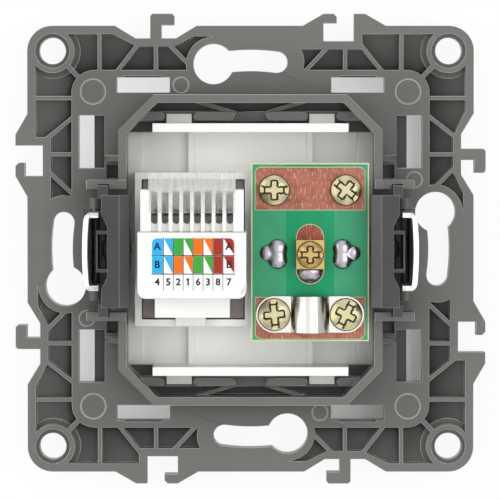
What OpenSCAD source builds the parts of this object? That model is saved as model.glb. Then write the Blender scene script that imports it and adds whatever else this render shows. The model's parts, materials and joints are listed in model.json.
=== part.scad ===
// TV and data wall socket: support frame with spreader claws, snap-in insert,
// eight-way data jack and TV aerial board. Sizes are in millimetres.
// Every piece is drawn as seen from behind: x to the right, y up and z towards
// the wall box, with the wall plane at z = 0. place() then stands it upright,
// with the rear side facing -Y.

/* [Support frame] */
// Side of the square support, which is also the ganging distance
frame_w = 71; // [70:0.5:74]
// Thickness of the border
frame_t = 4.2; // [3.8:0.1:5]
// Floor left under the pockets
pocket_floor = 1.2; // [0.8:0.1:1.6]
// Width of the rim around the border
rim_w = 1.3; // [1:0.1:1.6]
// Width of the stiffening ribs
rib_w = 0.6; // [0.4:0.05:0.9]
// Distance of the outer straight ribs from the middle of a side
rib_x = 24; // [23:0.1:25]
// Side of the plateau inside the ribbed border
plateau_w = 56.9; // [56:0.1:58]
// Corner radius of the plateau
plateau_r = 3.6; // [2.6:0.1:4.6]

/* [Corner holes] */
// Distance between neighbouring corner holes
hole_pitch = 63; // [62:0.5:64]
// Diameter of the corner holes
hole_d = 4.2; // [3.6:0.1:4.6]
// Diameter of the counterbore
hole_bore_d = 5.5; // [5:0.1:5.9]
// Depth of the counterbore
hole_bore_depth = 1.2; // [0.6:0.1:2]
// Diameter of the boss around a hole
boss_d = 7; // [6.4:0.1:7.6]
// Diameter of the lower step around the boss
boss_step_d = 8.8; // [8.2:0.1:9.6]
// How far the step lies below the wall plane
boss_step_drop = 1.7; // [1:0.1:2.4]

/* [Box screw keyholes] */
// Pitch circle of the wall box screws
box_pitch = 60; // [59:0.5:61]
// Diameter of the round end, which passes a screw head
key_head_d = 6.4; // [6:0.1:7]
// Width of the curved slot, which guides a screw
key_slot_w = 3.4; // [3:0.1:4]
// Angle from the middle of a side to the round end
key_head_angle = 11.3; // [10.5:0.1:12]
// Angle from the middle of a side to the slot end
key_slot_angle = 8; // [7:0.1:9]
// Radius of the solid pad around both ends
key_pad_r = 4.35; // [4.1:0.05:4.7]

/* [Ganging hooks] */
// Distance of the hook stem from the middle of a side
hook_x = 15.05; // [14.5:0.05:15.5]
// Width of the hook stem
hook_w = 1.8; // [1.5:0.1:2]
// How far hooks stand out of the side
hook_reach = 1.9; // [1.6:0.1:2.2]
// Length of the hook head past its stem
hook_head = 2.05; // [1.7:0.05:2.3]
// Thickness of the hook head
hook_t = 1.8; // [1.4:0.1:1.9]
// Depth of the notch that the hook stands in
notch_d = 2; // [1.6:0.1:2.4]
// Half the width of the notch floor
notch_half_w = 3.2; // [2.8:0.1:3.5]
// Depth of the socket that takes a neighbour's hook
socket_d = 2.45; // [2.2:0.05:2.7]
// Play around a neighbour's hook
gang_gap = 0.5; // [0.3:0.05:0.7]
// Thickness of the lip over the socket
lip_t = 1.5; // [1.2:0.1:1.6]
// Length of the lip over the socket
lip_l = 2.1; // [1.8:0.1:2.2]
// Wall beyond the socket
socket_wall = 1.75; // [1.4:0.05:2]
// Run of the slopes beside hooks and sockets
slope_run = 3.3; // [3:0.1:3.6]

/* [Cover frame latch windows] */
// Distance between the two windows of a side
latch_pitch = 34.1; // [33.5:0.1:34.5]
// Length of a window
latch_l = 8.4; // [7.8:0.1:8.6]
// Width of a window
latch_w = 2.4; // [2:0.1:2.6]
// Distance of a window from the centre of the frame
latch_reach = 26.1; // [25.8:0.1:26.4]
// Width of the blind step beside the left and right windows
latch_step = 1.7; // [1.2:0.1:1.9]
// Depth of the blind steps
latch_step_depth = 2.4; // [1.6:0.1:2.8]

/* [Collar and crossbars] */
// Width of the collar
collar_w = 41.7; // [41.2:0.1:42]
// Height of the collar
collar_h = 49.1; // [48.8:0.1:49.4]
// Corner cut of the collar
collar_cut = 5.6; // [5:0.1:6]
// Wall of the collar
collar_wall = 1.3; // [1:0.1:1.4]
// How far the collar rises into the wall box
collar_rise = 6; // [5:0.1:7]
// Height of the frame opening between the crossbar ledges
opening_h = 37.1; // [36.7:0.1:37.3]
// Width of a crossbar
crossbar_w = 1.55; // [1.3:0.05:1.7]
// How far the crossbars lie below the wall plane
crossbar_drop = 0.5; // [0.3:0.1:0.8]
// Height of the rounded pads on the crossbars
pad_rise = 1.5; // [1:0.1:2]
// Length of the middle pads
pad_l = 6.5; // [6:0.1:6.7]

/* [Spreader claws] */
// Distance of the claw screws from the centre
screw_x = 21.2; // [21:0.05:21.4]
// Distance of the claw pivots from the centre
pivot_x = 24.6; // [24.4:0.05:24.8]
// Height of the claw pivots over the wall plane
pivot_z = 1.7; // [1.6:0.05:1.9]
// Diameter of the pivot pins
pivot_d = 1.3; // [1.1:0.05:1.4]
// Thickness of the claw steel
claw_t = 0.8; // [0.7:0.05:0.9]
// Width over the two claw flanges
claw_w = 12.2; // [11.9:0.1:12.4]
// Rear end of the claw, from the wall plane
claw_z = 15; // [14.5:0.1:16]
// Distance from the pivot to the outside of the claw
claw_back = 1.4; // [1.3:0.05:1.6]
// Bow of the claw's gripping edge
claw_bow = 0.25; // [0.1:0.05:0.4]
// Swing of the claw at full travel, in degrees
claw_swing = 35; // [30:1:36]
// Travel of the nut block
block_travel = 5.5; // [5:0.1:5.6]
// Half the length of the nut block
block_half_l = 8.8; // [8.6:0.05:9]
// Rear face of the nut block, from the wall plane
block_z = 14; // [13.8:0.1:14.4]
// Depth of the nut block behind its cam corner
block_h = 6; // [5.8:0.1:6.2]
// Distance of the block's inner face from the centre
block_in = 18.95; // [18.8:0.05:19.1]
// Distance of the block's cam corners from the centre
block_out = 23.3; // [23.2:0.05:23.4]
// Diameter of the claw screws
screw_d = 3; // [2.8:0.1:3.2]
// Diameter of the claw screw heads
screw_head_d = 4.8; // [4.4:0.1:5.2]
// Height of the claw screw heads
screw_head_h = 1.4; // [1.2:0.1:1.7]
// Thickness of the guide ears
ear_t = 1.35; // [1.25:0.05:1.5]
// Rear end of the guide ears, from the wall plane
ear_z = 9; // [8.6:0.1:10]
// Gap between the block's ends and the guide ears
ear_gap = 0.9; // [0.8:0.05:1]

/* [Insert] */
// Side of the front plate
plate_w = 48.4; // [47.8:0.1:48.8]
// Thickness of the front plate
plate_t = 2.4; // [2:0.1:3]
// Distance between the frame and the back of the front plate
plate_gap = 2.4; // [2:0.1:3]
// Bevel of the front plate
plate_bevel = 0.8; // [0.4:0.1:1]
// Wall of the skirt that seats on the frame
skirt_t = 1.2; // [1:0.1:1.4]
// Width of the snap walls
snap_w = 31; // [30.4:0.1:31.4]
// Thickness of the snap walls
snap_t = 1.4; // [1.2:0.1:1.5]
// Distance of the snap walls' outer faces from the centre
snap_reach = 20; // [19.9:0.05:20.1]
// Rear end of the snap walls, from the wall plane
snap_z = 4; // [3.4:0.1:5]
// Distance of a snap hook from the middle
tab_x = 11.35; // [11.2:0.05:11.5]
// Width of a snap hook
tab_w = 4; // [3.6:0.1:4.2]
// How far a snap hook reaches over its crossbar
tab_reach = 1.5; // [1.2:0.05:1.6]

/* [Data jack] */
// Place of the jack across the insert
jack_x = -9.08; // [-9.2:0.02:-9]
// Width of the port
port_w = 11.9; // [11.7:0.05:12.1]
// Height of the port
port_h = 7; // [6.8:0.05:7.2]
// Wall of the nose beside the port
nose_wall = 1.15; // [1:0.05:1.3]
// Length of the nose
nose_l = 15.6; // [15:0.1:16.4]
// Width of the nose flange
flange_w = 16.1; // [15.8:0.1:16.2]
// Height of the nose flange
flange_h = 22; // [21.8:0.1:22.4]
// Thickness of the nose flange
flange_t = 2; // [1.6:0.1:2.4]
// Wall of the carrier around the flange
carrier_wall = 1.1; // [0.9:0.05:1.2]
// Depth of the carrier behind the front plate
carrier_h = 8.6; // [8.2:0.1:9]
// Thickness of the jack board
jack_board_t = 1.2; // [1:0.1:1.6]
// Width of the wiring block
idc_w = 16.05; // [15.7:0.05:16.2]
// Height of the wiring block
idc_l = 6.5; // [6.2:0.1:6.8]
// Depth of the wiring block behind the jack board
idc_h = 6.8; // [6.2:0.1:7.4]
// Distance between the wiring slots
idc_pitch = 1.675; // [1.6:0.005:1.7]
// Width of a wiring slot
idc_slot = 1.08; // [0.95:0.01:1.15]
// Upper end of the label cover, from the centre
cover_y = 3.15; // [3:0.05:3.3]
// Width of the label cover
cover_w = 16.86; // [16.6:0.02:17]
// Height of the label cover
cover_l = 10.28; // [10.1:0.02:10.4]
// Depth of the label cover behind the jack board
cover_h = 9.8; // [9:0.1:10.4]
// Wall of the label cover
cover_wall = 1.4; // [1.1:0.1:1.8]
// Width of the wiring label
label_w = 12.94; // [12.4:0.02:13.4]
// Height of the wiring label
label_l = 8.16; // [7.8:0.02:8.5]
// Thickness of the clear cap
cap_t = 1.9; // [1.4:0.1:2.4]
// How far the clear cap reaches down over the wiring block
cap_l = 3.6; // [3.2:0.1:4]
// Thickness of the port contact wires
wire_d = 0.45; // [0.4:0.01:0.5]
// Distance between the port contact wires
wire_pitch = 1.02; // [1:0.01:1.04]

/* [TV board] */
// Place of the TV port across the insert
tv_x = 9.39; // [9.2:0.01:9.5]
// Place of the TV port above the centre
tv_y = -0.6; // [-0.8:0.02:-0.4]
// Width of the board
board_w = 18.58; // [18:0.02:18.6]
// Height of the board
board_l = 28.1; // [27.5:0.1:28.7]
// How far the middle of the board lies above the TV port
board_rise = 0.3; // [0:0.05:0.5]
// Thickness of the board
board_t = 1.6; // [1.2:0.1:2]
// Length of the board posts
post_h = 11.6; // [11:0.1:12.4]
// Diameter of the board posts
post_d = 4.6; // [4.2:0.1:5]
// Distance of the screws from the middle of the board
screw_off_x = 5.65; // [5.5:0.05:5.75]
// Distance of the board screws from the board's upper end
board_screw_edge = 4.25; // [4:0.05:4.5]
// Distance of the clamp screws from the board's lower end
clamp_screw_edge = 4.25; // [4:0.05:4.5]
// Diameter of the screw shanks
shank_d = 2.4; // [2.2:0.1:2.6]
// Diameter of the board screw heads
board_head_d = 4.9; // [4.6:0.1:5.2]
// Diameter of the clamp screw heads
clamp_head_d = 5.2; // [4.8:0.1:5.4]
// Height of the screw heads
head_h = 1.6; // [1.3:0.1:2]
// Width of the cable saddle
saddle_w = 5.8; // [5.4:0.1:6.2]
// Thickness of the cable saddle
saddle_t = 0.7; // [0.5:0.05:0.9]
// Inner radius of the saddle's arch
saddle_r = 2.35; // [2.2:0.05:2.8]
// Bore of the TV port
coax_bore_d = 9.6; // [9.5:0.05:9.8]
// Wall of the coax barrel
coax_wall = 0.8; // [0.6:0.05:0.95]
// Diameter of the coax centre pin
coax_pin_d = 2.3; // [2.2:0.02:2.4]
// Thickness of the coax insulator
insulator_t = 2.8; // [2:0.1:3.4]
// Distance between the coax insulator and the board
insulator_gap = 3.2; // [3:0.1:3.6]
// Width of the terminal clamp
terminal_w = 4.5; // [4.2:0.1:4.8]
// Length of the terminal clamp
terminal_l = 4.6; // [4.2:0.1:5]
// Room for the conductor under the terminal clamp
terminal_room = 2; // [1.6:0.1:2.4]
// Thickness of the terminal clamp
terminal_t = 0.8; // [0.6:0.05:1]
// Diameter of the terminal screw head
terminal_head_d = 4.3; // [4:0.1:4.5]

/* [Fits] */
// Radial running fit of pins and screws
run_fit = 0.05; // [0.03:0.01:0.08]
// Radial fit of pressed and tapped pieces
press_fit = 0.02; // [0.01:0.01:0.03]
// Side play of sliding pieces
slide_gap = 0.15; // [0.12:0.01:0.2]
// Play around pieces that snap or drop in
snap_gap = 0.12; // [0.08:0.01:0.16]

/* [Hidden] */
$fn = 64;
over = 0.5;

grey_plastic = "#767674";
black_plastic = "#434343";
white_plastic = "#f4f4f2";
dark_plastic = "#625b58";
clear_plastic = "#dfe3e0";
zinc_steel = "#c9cac6";
yellow_zinc = "#c8c39a";
brass_metal = "#c9a451";
copper_metal = "#c07a58";
solder_metal = "#aaa8ac";
board_green = "#3fae72";
nickel_metal = "#d7d7d3";

half = frame_w / 2;
hole_at = hole_pitch / 2;
front_z = -frame_t;
floor_z = front_z + pocket_floor;
plateau = plateau_w / 2;
socket_in = hook_x - hook_w / 2 - hook_head - gang_gap;
socket_out = hook_x + hook_w / 2 + gang_gap;
box_r = box_pitch / 2;

collar_x = collar_w / 2;
collar_y = collar_h / 2;
opening_x = collar_x - collar_wall;
crossbar_y = snap_reach + 0.35;
crossbar_z = -crossbar_drop;
ear_y = block_half_l + ear_gap;
groove_depth = 0.8;
lug_w = 1.5;
lug_x = block_out - lug_w / 2 + 0.5;
lug_l = ear_gap + groove_depth - slide_gap;
cam_z = block_z - block_h;
hub_half = 3.2;
hub_drop = 4.4;
screw_tip = cam_z - 1;
retainer_d = screw_d + 1.5;
retainer_gap = 0.35;
pivot_lug = pivot_d / 2 + 0.3;
pivot_lug_y = claw_w / 2 + 0.4;
claw_seat_drop = 0.3;
claw_seat_gap = 0.35;

plate_back = front_z - plate_gap;
plate_front = plate_back - plate_t;
middle_rise = 1.4;
carrier_x = flange_w / 2 + snap_gap;
carrier_y = flange_h / 2 + snap_gap;
carrier_z = plate_back + carrier_h;
nose_back = plate_back + nose_l;
flange_back = carrier_z - 1;
jack_board_back = nose_back + jack_board_t;
idc_back = jack_board_back + idc_h;
cover_back = jack_board_back + cover_h;
port_y = -0.9;
wire_y = port_y + port_h / 2 + 0.6;
nose_x = port_w / 2 + nose_wall;
idc_y = cover_y + 0.05;
idc_top = idc_y + idc_l;
idc_slot_y = idc_y + 1.2 + idc_slot / 2;
idc_floor = jack_board_back + 1.6;

board_front = plate_back + post_h;
board_back = board_front + board_t;
foil_t = 0.06;
foil_back = board_back + foil_t;
coax_r = coax_bore_d / 2;
barrel_r = coax_r + coax_wall;
screw_up = board_l / 2 + board_rise - board_screw_edge;
screw_down = board_l / 2 - board_rise - clamp_screw_edge;
pilot_depth = 7;
ground_tab_x = barrel_r - 0.5;
ground_tab_w = 1.8;
ground_tab_t = 0.9;
ground_tab_rise = 0.5;
pin_tail_d = 1.2;
pin_tail_y = -(coax_r - pin_tail_d / 2 - 0.85);
pin_tail_rise = 0.4;
land_pad_w = 4.2;
land_pad_l = 9.3;
insulator_z1 = board_front - insulator_gap;
insulator_z0 = insulator_z1 - insulator_t;
terminal_z = foil_back + terminal_room;

// Shared helpers

module place() {
    rotate([90, 0, 0]) children();
}

module slab(z0, z1) {
    translate([0, 0, z0]) linear_extrude(z1 - z0) children();
}

module block(x0, x1, y0, y1, z0, z1) {
    translate([x0, y0, z0]) cube([x1 - x0, y1 - y0, z1 - z0]);
}

module four_sides() {
    for (k = [0:3]) rotate([0, 0, -90 * k]) children();
}

module both_sides() {
    children();
    mirror([1, 0, 0]) children();
}

module up_and_down() {
    children();
    mirror([0, 1, 0]) children();
}

module corners(at) {
    for (x = [-at, at], y = [-at, at]) translate([x, y]) children();
}

// A bar of the given width between two points
module bar_2d(p, q, w) {
    d = q - p;
    translate(p) rotate(atan2(d[1], d[0])) translate([0, -w / 2]) square([norm(d), w]);
}

module rounded_square_2d(w, l, r) {
    square([w - 2 * r, l], center = true);
    square([w, l - 2 * r], center = true);
    for (x = [-1, 1], y = [-1, 1]) translate([x * (w / 2 - r), y * (l / 2 - r)]) circle(r);
}

module octagon_2d(x, y, cut) {
    polygon([
        [x, y - cut], [x - cut, y], [cut - x, y], [-x, y - cut],
        [-x, cut - y], [cut - x, -y], [x - cut, -y], [x, cut - y]
    ]);
}

// A profile drawn in y and z, drawn out along x from x0 to x1
module along_x(x0, x1) {
    translate([x0, 0, 0]) rotate([90, 0, 90]) linear_extrude(x1 - x0) children();
}

// A profile drawn in x and z, drawn out along y from y0 to y1
module along_y(y0, y1) {
    translate([0, y1, 0]) rotate([90, 0, 0]) linear_extrude(y1 - y0) children();
}

// Support frame

module hook_2d() {
    left = -hook_x - hook_w / 2;
    tip = hook_x - hook_w / 2 - hook_head;
    top = half + hook_reach;
    nick = 0.35;
    polygon([
        [left, half - notch_d - over], [left, top - nick], [left + nick, top],
        [-tip - nick, top], [-tip, top - nick], [-tip, top - hook_t],
        [left + hook_w, top - hook_t], [left + hook_w, half - notch_d - over]
    ]);
}

module side_outline_2d() {
    top = half + hook_reach;
    base = half - socket_d - 2 * over;
    lip_end = socket_in + lip_l;
    nick = 0.5;
    polygon([
        [-hole_at, base], [-hole_at, half],
        [-hook_x - notch_half_w - slope_run, half], [-hook_x - notch_half_w, half - notch_d],
        [-hook_x + notch_half_w, half - notch_d], [-hook_x + notch_half_w + slope_run, half],
        [socket_in - slope_run, half], [socket_in, top],
        [lip_end - nick, top], [lip_end, top - nick], [lip_end, top - lip_t],
        [socket_in, top - lip_t], [socket_in, half - socket_d],
        [socket_out, half - socket_d], [socket_out, top],
        [socket_out + socket_wall, top], [socket_out + socket_wall + slope_run, half],
        [hole_at, half], [hole_at, base]
    ]);
    hook_2d();
}

module outline_2d() {
    square(2 * (half - socket_d - over), center = true);
    four_sides() side_outline_2d();
    corners(hole_at) circle(half - hole_at);
}

function on_box_circle(angle) = box_r * [sin(angle), cos(angle)];

module keyhole_2d() {
    far = 2 * box_r;
    intersection() {
        difference() {
            circle(box_r + key_slot_w / 2);
            circle(box_r - key_slot_w / 2);
        }
        polygon([
            [0, 0], far * [-sin(key_head_angle), cos(key_head_angle)],
            far * [sin(key_slot_angle), cos(key_slot_angle)]
        ]);
    }
    translate(on_box_circle(-key_head_angle)) circle(d = key_head_d);
    translate(on_box_circle(key_slot_angle)) circle(d = key_slot_w);
}

module key_pad_2d() {
    head = on_box_circle(-key_head_angle);
    end = on_box_circle(key_slot_angle);
    translate(head) circle(key_pad_r);
    translate(end) circle(key_pad_r);
    translate([head[0], plateau - over]) square([end[0] - head[0], half - plateau]);
}

// Pocket area of one side, before ribs and pads are taken out of it
module side_pocket_2d() {
    deep = half - rim_w;
    notch_in = half - notch_d - rim_w;
    socket_floor = half - socket_d - rim_w;
    slope_in = 0.4;
    low = plateau - plateau_r;
    polygon([
        [-deep, low], [-deep, deep],
        [-hook_x - notch_half_w - slope_run - slope_in, deep],
        [-hook_x - notch_half_w + slope_in, notch_in],
        [-hook_x + notch_half_w - slope_in, notch_in],
        [-hook_x + notch_half_w + slope_run - slope_in, deep - slope_in],
        [0, deep - slope_in], [0, socket_floor],
        [socket_out + rim_w, socket_floor], [socket_out + rim_w, deep],
        [deep, deep], [deep, low]
    ]);
}

module side_ribs_2d() {
    top = half - rim_w + over;
    low = plateau - over;
    lean = 3.2;
    notch_in = half - notch_d - rim_w + over;
    for (x = [-rib_x, -hook_x, hook_x, rib_x]) bar_2d([x, low], [x, top], rib_w);
    left = -hook_x - notch_half_w + over;
    bar_2d([left, notch_in], [left - lean - over, low], rib_w);
    right = notch_half_w - hook_x - rim_w;
    bar_2d([right, notch_in], [right + lean, notch_in - lean], rib_w);
    bar_2d([socket_in + 1.2, notch_in], [socket_in - lean, low], rib_w);
    bar_2d([socket_out + 0.9, notch_in], [socket_out + 1.5 + lean, low], rib_w);
    boss_end = hole_at - boss_d / 4;
    corner_end = plateau - 0.3 * plateau_r;
    bar_2d([-boss_end, boss_end], [-corner_end, corner_end], rib_w * 1.2);
}

module pocket_2d() {
    difference() {
        four_sides() side_pocket_2d();
        rounded_square_2d(plateau_w, plateau_w, plateau_r);
        four_sides() key_pad_2d();
        four_sides() side_ribs_2d();
        corners(hole_at) circle(d = boss_d);
        corners(half - rim_w) circle(rim_w);
    }
}

module pockets() {
    slab(floor_z, over) difference() {
        pocket_2d();
        corners(hole_at) circle(d = boss_step_d);
    }
    slab(-boss_step_drop, over) intersection() {
        pocket_2d();
        corners(hole_at) circle(d = boss_step_d);
    }
}

module corner_hole() {
    translate([0, 0, front_z - over]) cylinder(d = hole_d, h = frame_t + 2 * over);
    translate([0, 0, -hole_bore_depth]) cylinder(d = hole_bore_d, h = hole_bore_depth + over);
}

module latch_windows() {
    for (x = [-1, 1]) translate([x * latch_pitch / 2, 0]) {
        slab(front_z - over, over)
            translate([-latch_l / 2, latch_reach - latch_w / 2]) square([latch_l, latch_w]);
    }
}

// Blind steps beside the windows: long ones left and right, short ones above and below
module latch_steps() {
    for (y = [-1, 1]) translate([0, y * latch_pitch / 2]) {
        both_sides() slab(-latch_step_depth, over)
            translate([latch_reach - latch_w / 2 - latch_step, -latch_l / 2])
                square([latch_step + over, latch_l]);
    }
    short = latch_l * 0.7;
    for (x = [-1, 1]) translate([x * latch_pitch / 2, 0]) {
        up_and_down() slab(-latch_step_depth, over)
            translate([-short / 2, latch_reach]) square([short, latch_w / 2 + 0.25]);
    }
}

// Shallow ring marks that moulding leaves on the plateau
module mould_mark(r) {
    depth = 0.12;
    width = 0.14;
    slab(-depth, over) difference() {
        circle(r);
        circle(r - width);
    }
}

module mould_marks() {
    large = 2.05;
    small = 1.3;
    corners(plateau - 3.4) mould_mark(large);
    four_sides() translate([-latch_pitch / 2 + latch_l / 2 + 1.8, latch_reach]) mould_mark(small);
}

module collar_ring() {
    slab(-over, collar_rise) difference() {
        octagon_2d(collar_x, collar_y, collar_cut);
        collar_inside_2d();
    }
}

module collar_inside_2d() {
    cut = collar_cut - collar_wall * (2 - sqrt(2));
    octagon_2d(collar_x - collar_wall, collar_y - collar_wall, cut);
}

module collar_gussets() {
    gusset_t = 0.9;
    gusset_l = latch_reach - latch_w / 2 - latch_step - collar_x;
    for (y = [-1, 1]) translate([0, y * (latch_pitch / 2 - latch_l / 4 - 0.5)])
        both_sides() along_y(-gusset_t / 2, gusset_t / 2)
            polygon([
                [collar_x - over, -over], [collar_x - over, collar_rise - 1],
                [collar_x + gusset_l, 0.6], [collar_x + gusset_l, -over]
            ]);
}

module guide_ears() {
    out = lug_x + lug_w / 2 + 2;
    up_and_down() difference() {
        block(opening_x, out, ear_y, ear_y + ear_t, -over, ear_z);
        block(
            lug_x - lug_w / 2 - slide_gap, lug_x + lug_w / 2 + slide_gap,
            ear_y - over, ear_y + groove_depth, 0, ear_z + over
        );
    }
}

// Two small ears carry each claw's pivot pin
module pivot_lugs() {
    y1 = block_half_l - 0.7;
    up_and_down() along_y(pivot_lug_y, y1) difference() {
        union() {
            translate([pivot_x, pivot_z]) circle(pivot_lug);
            translate([pivot_x - pivot_lug, -over]) square([2 * pivot_lug, pivot_z + over]);
        }
        translate([pivot_x, pivot_z]) circle(pivot_d / 2 + press_fit);
    }
}

// Room for the hub of the nut block and the claw screw
module block_well() {
    side = slide_gap + 0.3;
    well_out = screw_x + screw_d / 2 + side;
    block(opening_x - over, well_out, -hub_half - side, hub_half + side, floor_z, over);
    block(opening_x - over, collar_x + over, -ear_y, ear_y, 0, collar_rise + over);
    translate([screw_x, 0, floor_z]) cylinder(d = retainer_d + 2 * retainer_gap, h = over - floor_z);
    translate([screw_x, 0, front_z - over])
        cylinder(d = screw_d + 2 * run_fit, h = pocket_floor + 2 * over);
}

// Shallow seat that keeps the folded claw out of the wall face
module claw_seat() {
    seat_out = pivot_x + claw_back + claw_bow + claw_seat_gap;
    block(collar_x, seat_out, -pivot_lug_y, pivot_lug_y, -claw_seat_drop, over);
}

module ear_recess() {
    gap = 0.15;
    up_and_down() block(
        collar_x + gap, lug_x - gap, ear_y + ear_t + gap,
        latch_pitch / 2 - latch_l / 2 + 0.6, -latch_step_depth, over
    );
}

module crossbars() {
    pad_w = crossbar_w - 0.3;
    pad_mid = tab_x - tab_w / 2 - 0.3 - pad_l / 2;
    outer_pad = tab_x + tab_w / 2 + 0.35;
    outer_l = 4;
    slab(floor_z - over, crossbar_z) intersection() {
        collar_inside_2d();
        translate([-collar_x, crossbar_y]) square([collar_w, crossbar_w]);
    }
    slab(crossbar_z - over, crossbar_z + pad_rise) intersection() {
        collar_inside_2d();
        translate([0, crossbar_y + crossbar_w / 2]) both_sides() {
            translate([pad_mid, 0]) rounded_square_2d(pad_l, pad_w, pad_w / 2 - 0.01);
            translate([outer_pad + pad_w / 2, 0]) circle(d = pad_w);
            translate([outer_pad + pad_w / 2, -pad_w / 2]) square([outer_l, pad_w]);
        }
    }
    slab(floor_z - over, crossbar_z + pad_rise / 2) both_sides() bar_2d(
        [tab_x - tab_w / 2, collar_y - collar_wall + over],
        [2.4, crossbar_y + crossbar_w - rib_w / 2], rib_w
    );
}

module frame_opening() {
    slab(front_z - over, collar_rise) intersection() {
        collar_inside_2d();
        union() {
            square([2 * opening_x, opening_h], center = true);
            square([snap_w + 2 * snap_gap, 2 * (snap_reach + snap_gap)], center = true);
        }
    }
}

module support_frame() color(grey_plastic) place() {
    difference() {
        union() {
            difference() {
                slab(front_z, 0) outline_2d();
                pockets();
            }
            collar_ring();
            collar_gussets();
            both_sides() {
                guide_ears();
                pivot_lugs();
            }
        }
        slab(floor_z, over) collar_inside_2d();
        frame_opening();
        for (x = [-1, 1], y = [-1, 1]) translate([x * hole_at, y * hole_at]) corner_hole();
        four_sides() {
            slab(front_z - over, over) keyhole_2d();
            latch_windows();
        }
        latch_steps();
        mould_marks();
        both_sides() {
            block_well();
            claw_seat();
            ear_recess();
        }
    }
    up_and_down() crossbars();
}

// Insert with front plate, snap walls, jack carrier and board posts

module port_shape_2d(gap) {
    key_w = 6.2;
    key_h = 1.9;
    translate([-port_w / 2 - gap, -port_h / 2 - gap]) square([port_w + 2 * gap, port_h + 2 * gap]);
    translate([-key_w / 2 - gap, -port_h / 2 - key_h - gap]) square([key_w + 2 * gap, key_h + over]);
}

module front_plate() {
    corner_r = 1.2;
    difference() {
        slab(plate_front, plate_back) rounded_square_2d(plate_w, plate_w, corner_r);
        four_sides() translate([0, plate_w / 2, plate_front]) rotate([45, 0, 0])
            cube([plate_w + 2, plate_bevel * sqrt(2), plate_bevel * sqrt(2)], center = true);
    }
    slab(plate_back - over, front_z) difference() {
        rounded_square_2d(plate_w, plate_w, corner_r);
        square(plate_w - 2 * skirt_t, center = true);
        notch = screw_head_d + 2;
        square([plate_w + 2, notch], center = true);
    }
}

// The rear of the front plate: a raised middle with edge ribs, and raised side lands
module plate_lands() {
    middle = 9.45;
    edge = 1;
    edge_rise = 0.3;
    side = 17.3;
    side_rise = 0.4;
    length = 2 * (snap_reach - snap_t) + over;
    slab(plate_back - over, plate_back + middle_rise) square([2 * middle, length], center = true);
    both_sides() {
        slab(plate_back - over, plate_back + middle_rise + edge_rise)
            translate([middle - edge / 2, -length / 2]) square([edge, length]);
        slab(plate_back - over, plate_back + side_rise)
            translate([side, -length / 2]) square([plate_w / 2 - skirt_t / 2 - side, length]);
    }
}

module snap_walls() {
    hook_z = crossbar_z + snap_gap;
    tip = snap_reach + tab_reach;
    tip_t = 0.8;
    ramp_z = hook_z + tip_t + tab_reach * 0.7;
    up_and_down() {
        block(-snap_w / 2, snap_w / 2, snap_reach - snap_t, snap_reach, plate_back - over, snap_z);
        both_sides() along_x(tab_x - tab_w / 2, tab_x + tab_w / 2) polygon([
            [snap_reach - over, hook_z], [tip, hook_z], [tip, hook_z + tip_t],
            [snap_reach, ramp_z], [snap_reach - over, ramp_z]
        ]);
    }
}

module tv_screws_at(names) {
    for (x = [-1, 1], name = names)
        translate([tv_x + x * screw_off_x, tv_y + (name == "board" ? screw_up : -screw_down), 0])
            children();
}

module insert_plate() color(white_plastic) place() difference() {
    union() {
        front_plate();
        plate_lands();
        snap_walls();
        translate([jack_x, 0]) slab(plate_back - over, carrier_z)
            square([2 * (carrier_x + carrier_wall), 2 * (carrier_y + carrier_wall)], center = true);
        tv_screws_at(["board", "clamp"])
            translate([0, 0, plate_back - over]) cylinder(d = post_d, h = post_h + over);
    }
    translate([jack_x, 0]) {
        slab(plate_back, carrier_z + over) square([2 * carrier_x, 2 * carrier_y], center = true);
        slab(plate_front - over, plate_back + over) translate([0, port_y]) port_shape_2d(0.2);
    }
    translate([tv_x, tv_y, plate_front - over])
        cylinder(r = barrel_r + snap_gap, h = plate_t + middle_rise + 2 * over);
    tv_screws_at(["board", "clamp"]) translate([0, 0, board_front - pilot_depth])
        cylinder(d = shank_d + 2 * press_fit, h = pilot_depth + over);
}

// Spreader claws, drawn on the right

// The flange edge follows the path of the block's corner, seen from the claw
function cam_point(t) = let (
    turn = claw_swing * t / block_travel,
    in = pivot_x - block_out - slide_gap,
    up = cam_z - pivot_z - t
) [pivot_x - in * cos(turn) - up * sin(turn), pivot_z - in * sin(turn) + up * cos(turn)];

module claw_side_2d() {
    steps = 8;
    hub_r = pivot_d / 2 + 0.55;
    tip_in = pivot_x - 0.9;
    out = pivot_x + claw_back + 1;
    difference() {
        union() {
            polygon(concat(
                [[out, pivot_z - 0.8], [out, claw_z], [tip_in, claw_z], [tip_in, cam_z + 0.6]],
                [for (i = [0:steps]) cam_point(block_travel * i / steps)],
                [[pivot_x, pivot_z - hub_r]]
            ));
            translate([pivot_x, pivot_z]) circle(hub_r);
        }
        translate([pivot_x, pivot_z]) circle(pivot_d / 2 + run_fit);
    }
}

// Section of the claw: a U with round bends and a bowed web, grown by t
module claw_section_2d(t) {
    bend = 0.3;
    web_x = pivot_x + claw_back - claw_t;
    inward = pivot_x + claw_back - block_in;
    side = claw_w / 2 - claw_t;
    bow_r = side * side / (2 * claw_bow);
    translate([web_x - inward, -side - t]) square([inward - bend, 2 * (side + t)]);
    translate([web_x - inward, -side + bend]) square([inward + t, 2 * (side - bend)]);
    for (y = [-1, 1]) translate([web_x - bend, y * (side - bend)]) circle(bend + t);
    intersection() {
        translate([web_x + t + claw_bow - bow_r, 0]) circle(bow_r, $fn = 180);
        translate([web_x, -side]) square([2 * claw_t + claw_bow, 2 * side]);
    }
}

module claw() {
    intersection() {
        slab(-over, claw_z + over) difference() {
            claw_section_2d(claw_t);
            claw_section_2d(0);
        }
        along_y(-claw_w, claw_w) claw_side_2d();
    }
}

module claw_pin() {
    length = 2 * (block_half_l - 0.7);
    translate([pivot_x, length / 2, pivot_z]) rotate([90, 0, 0]) cylinder(d = pivot_d, h = length);
}

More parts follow.
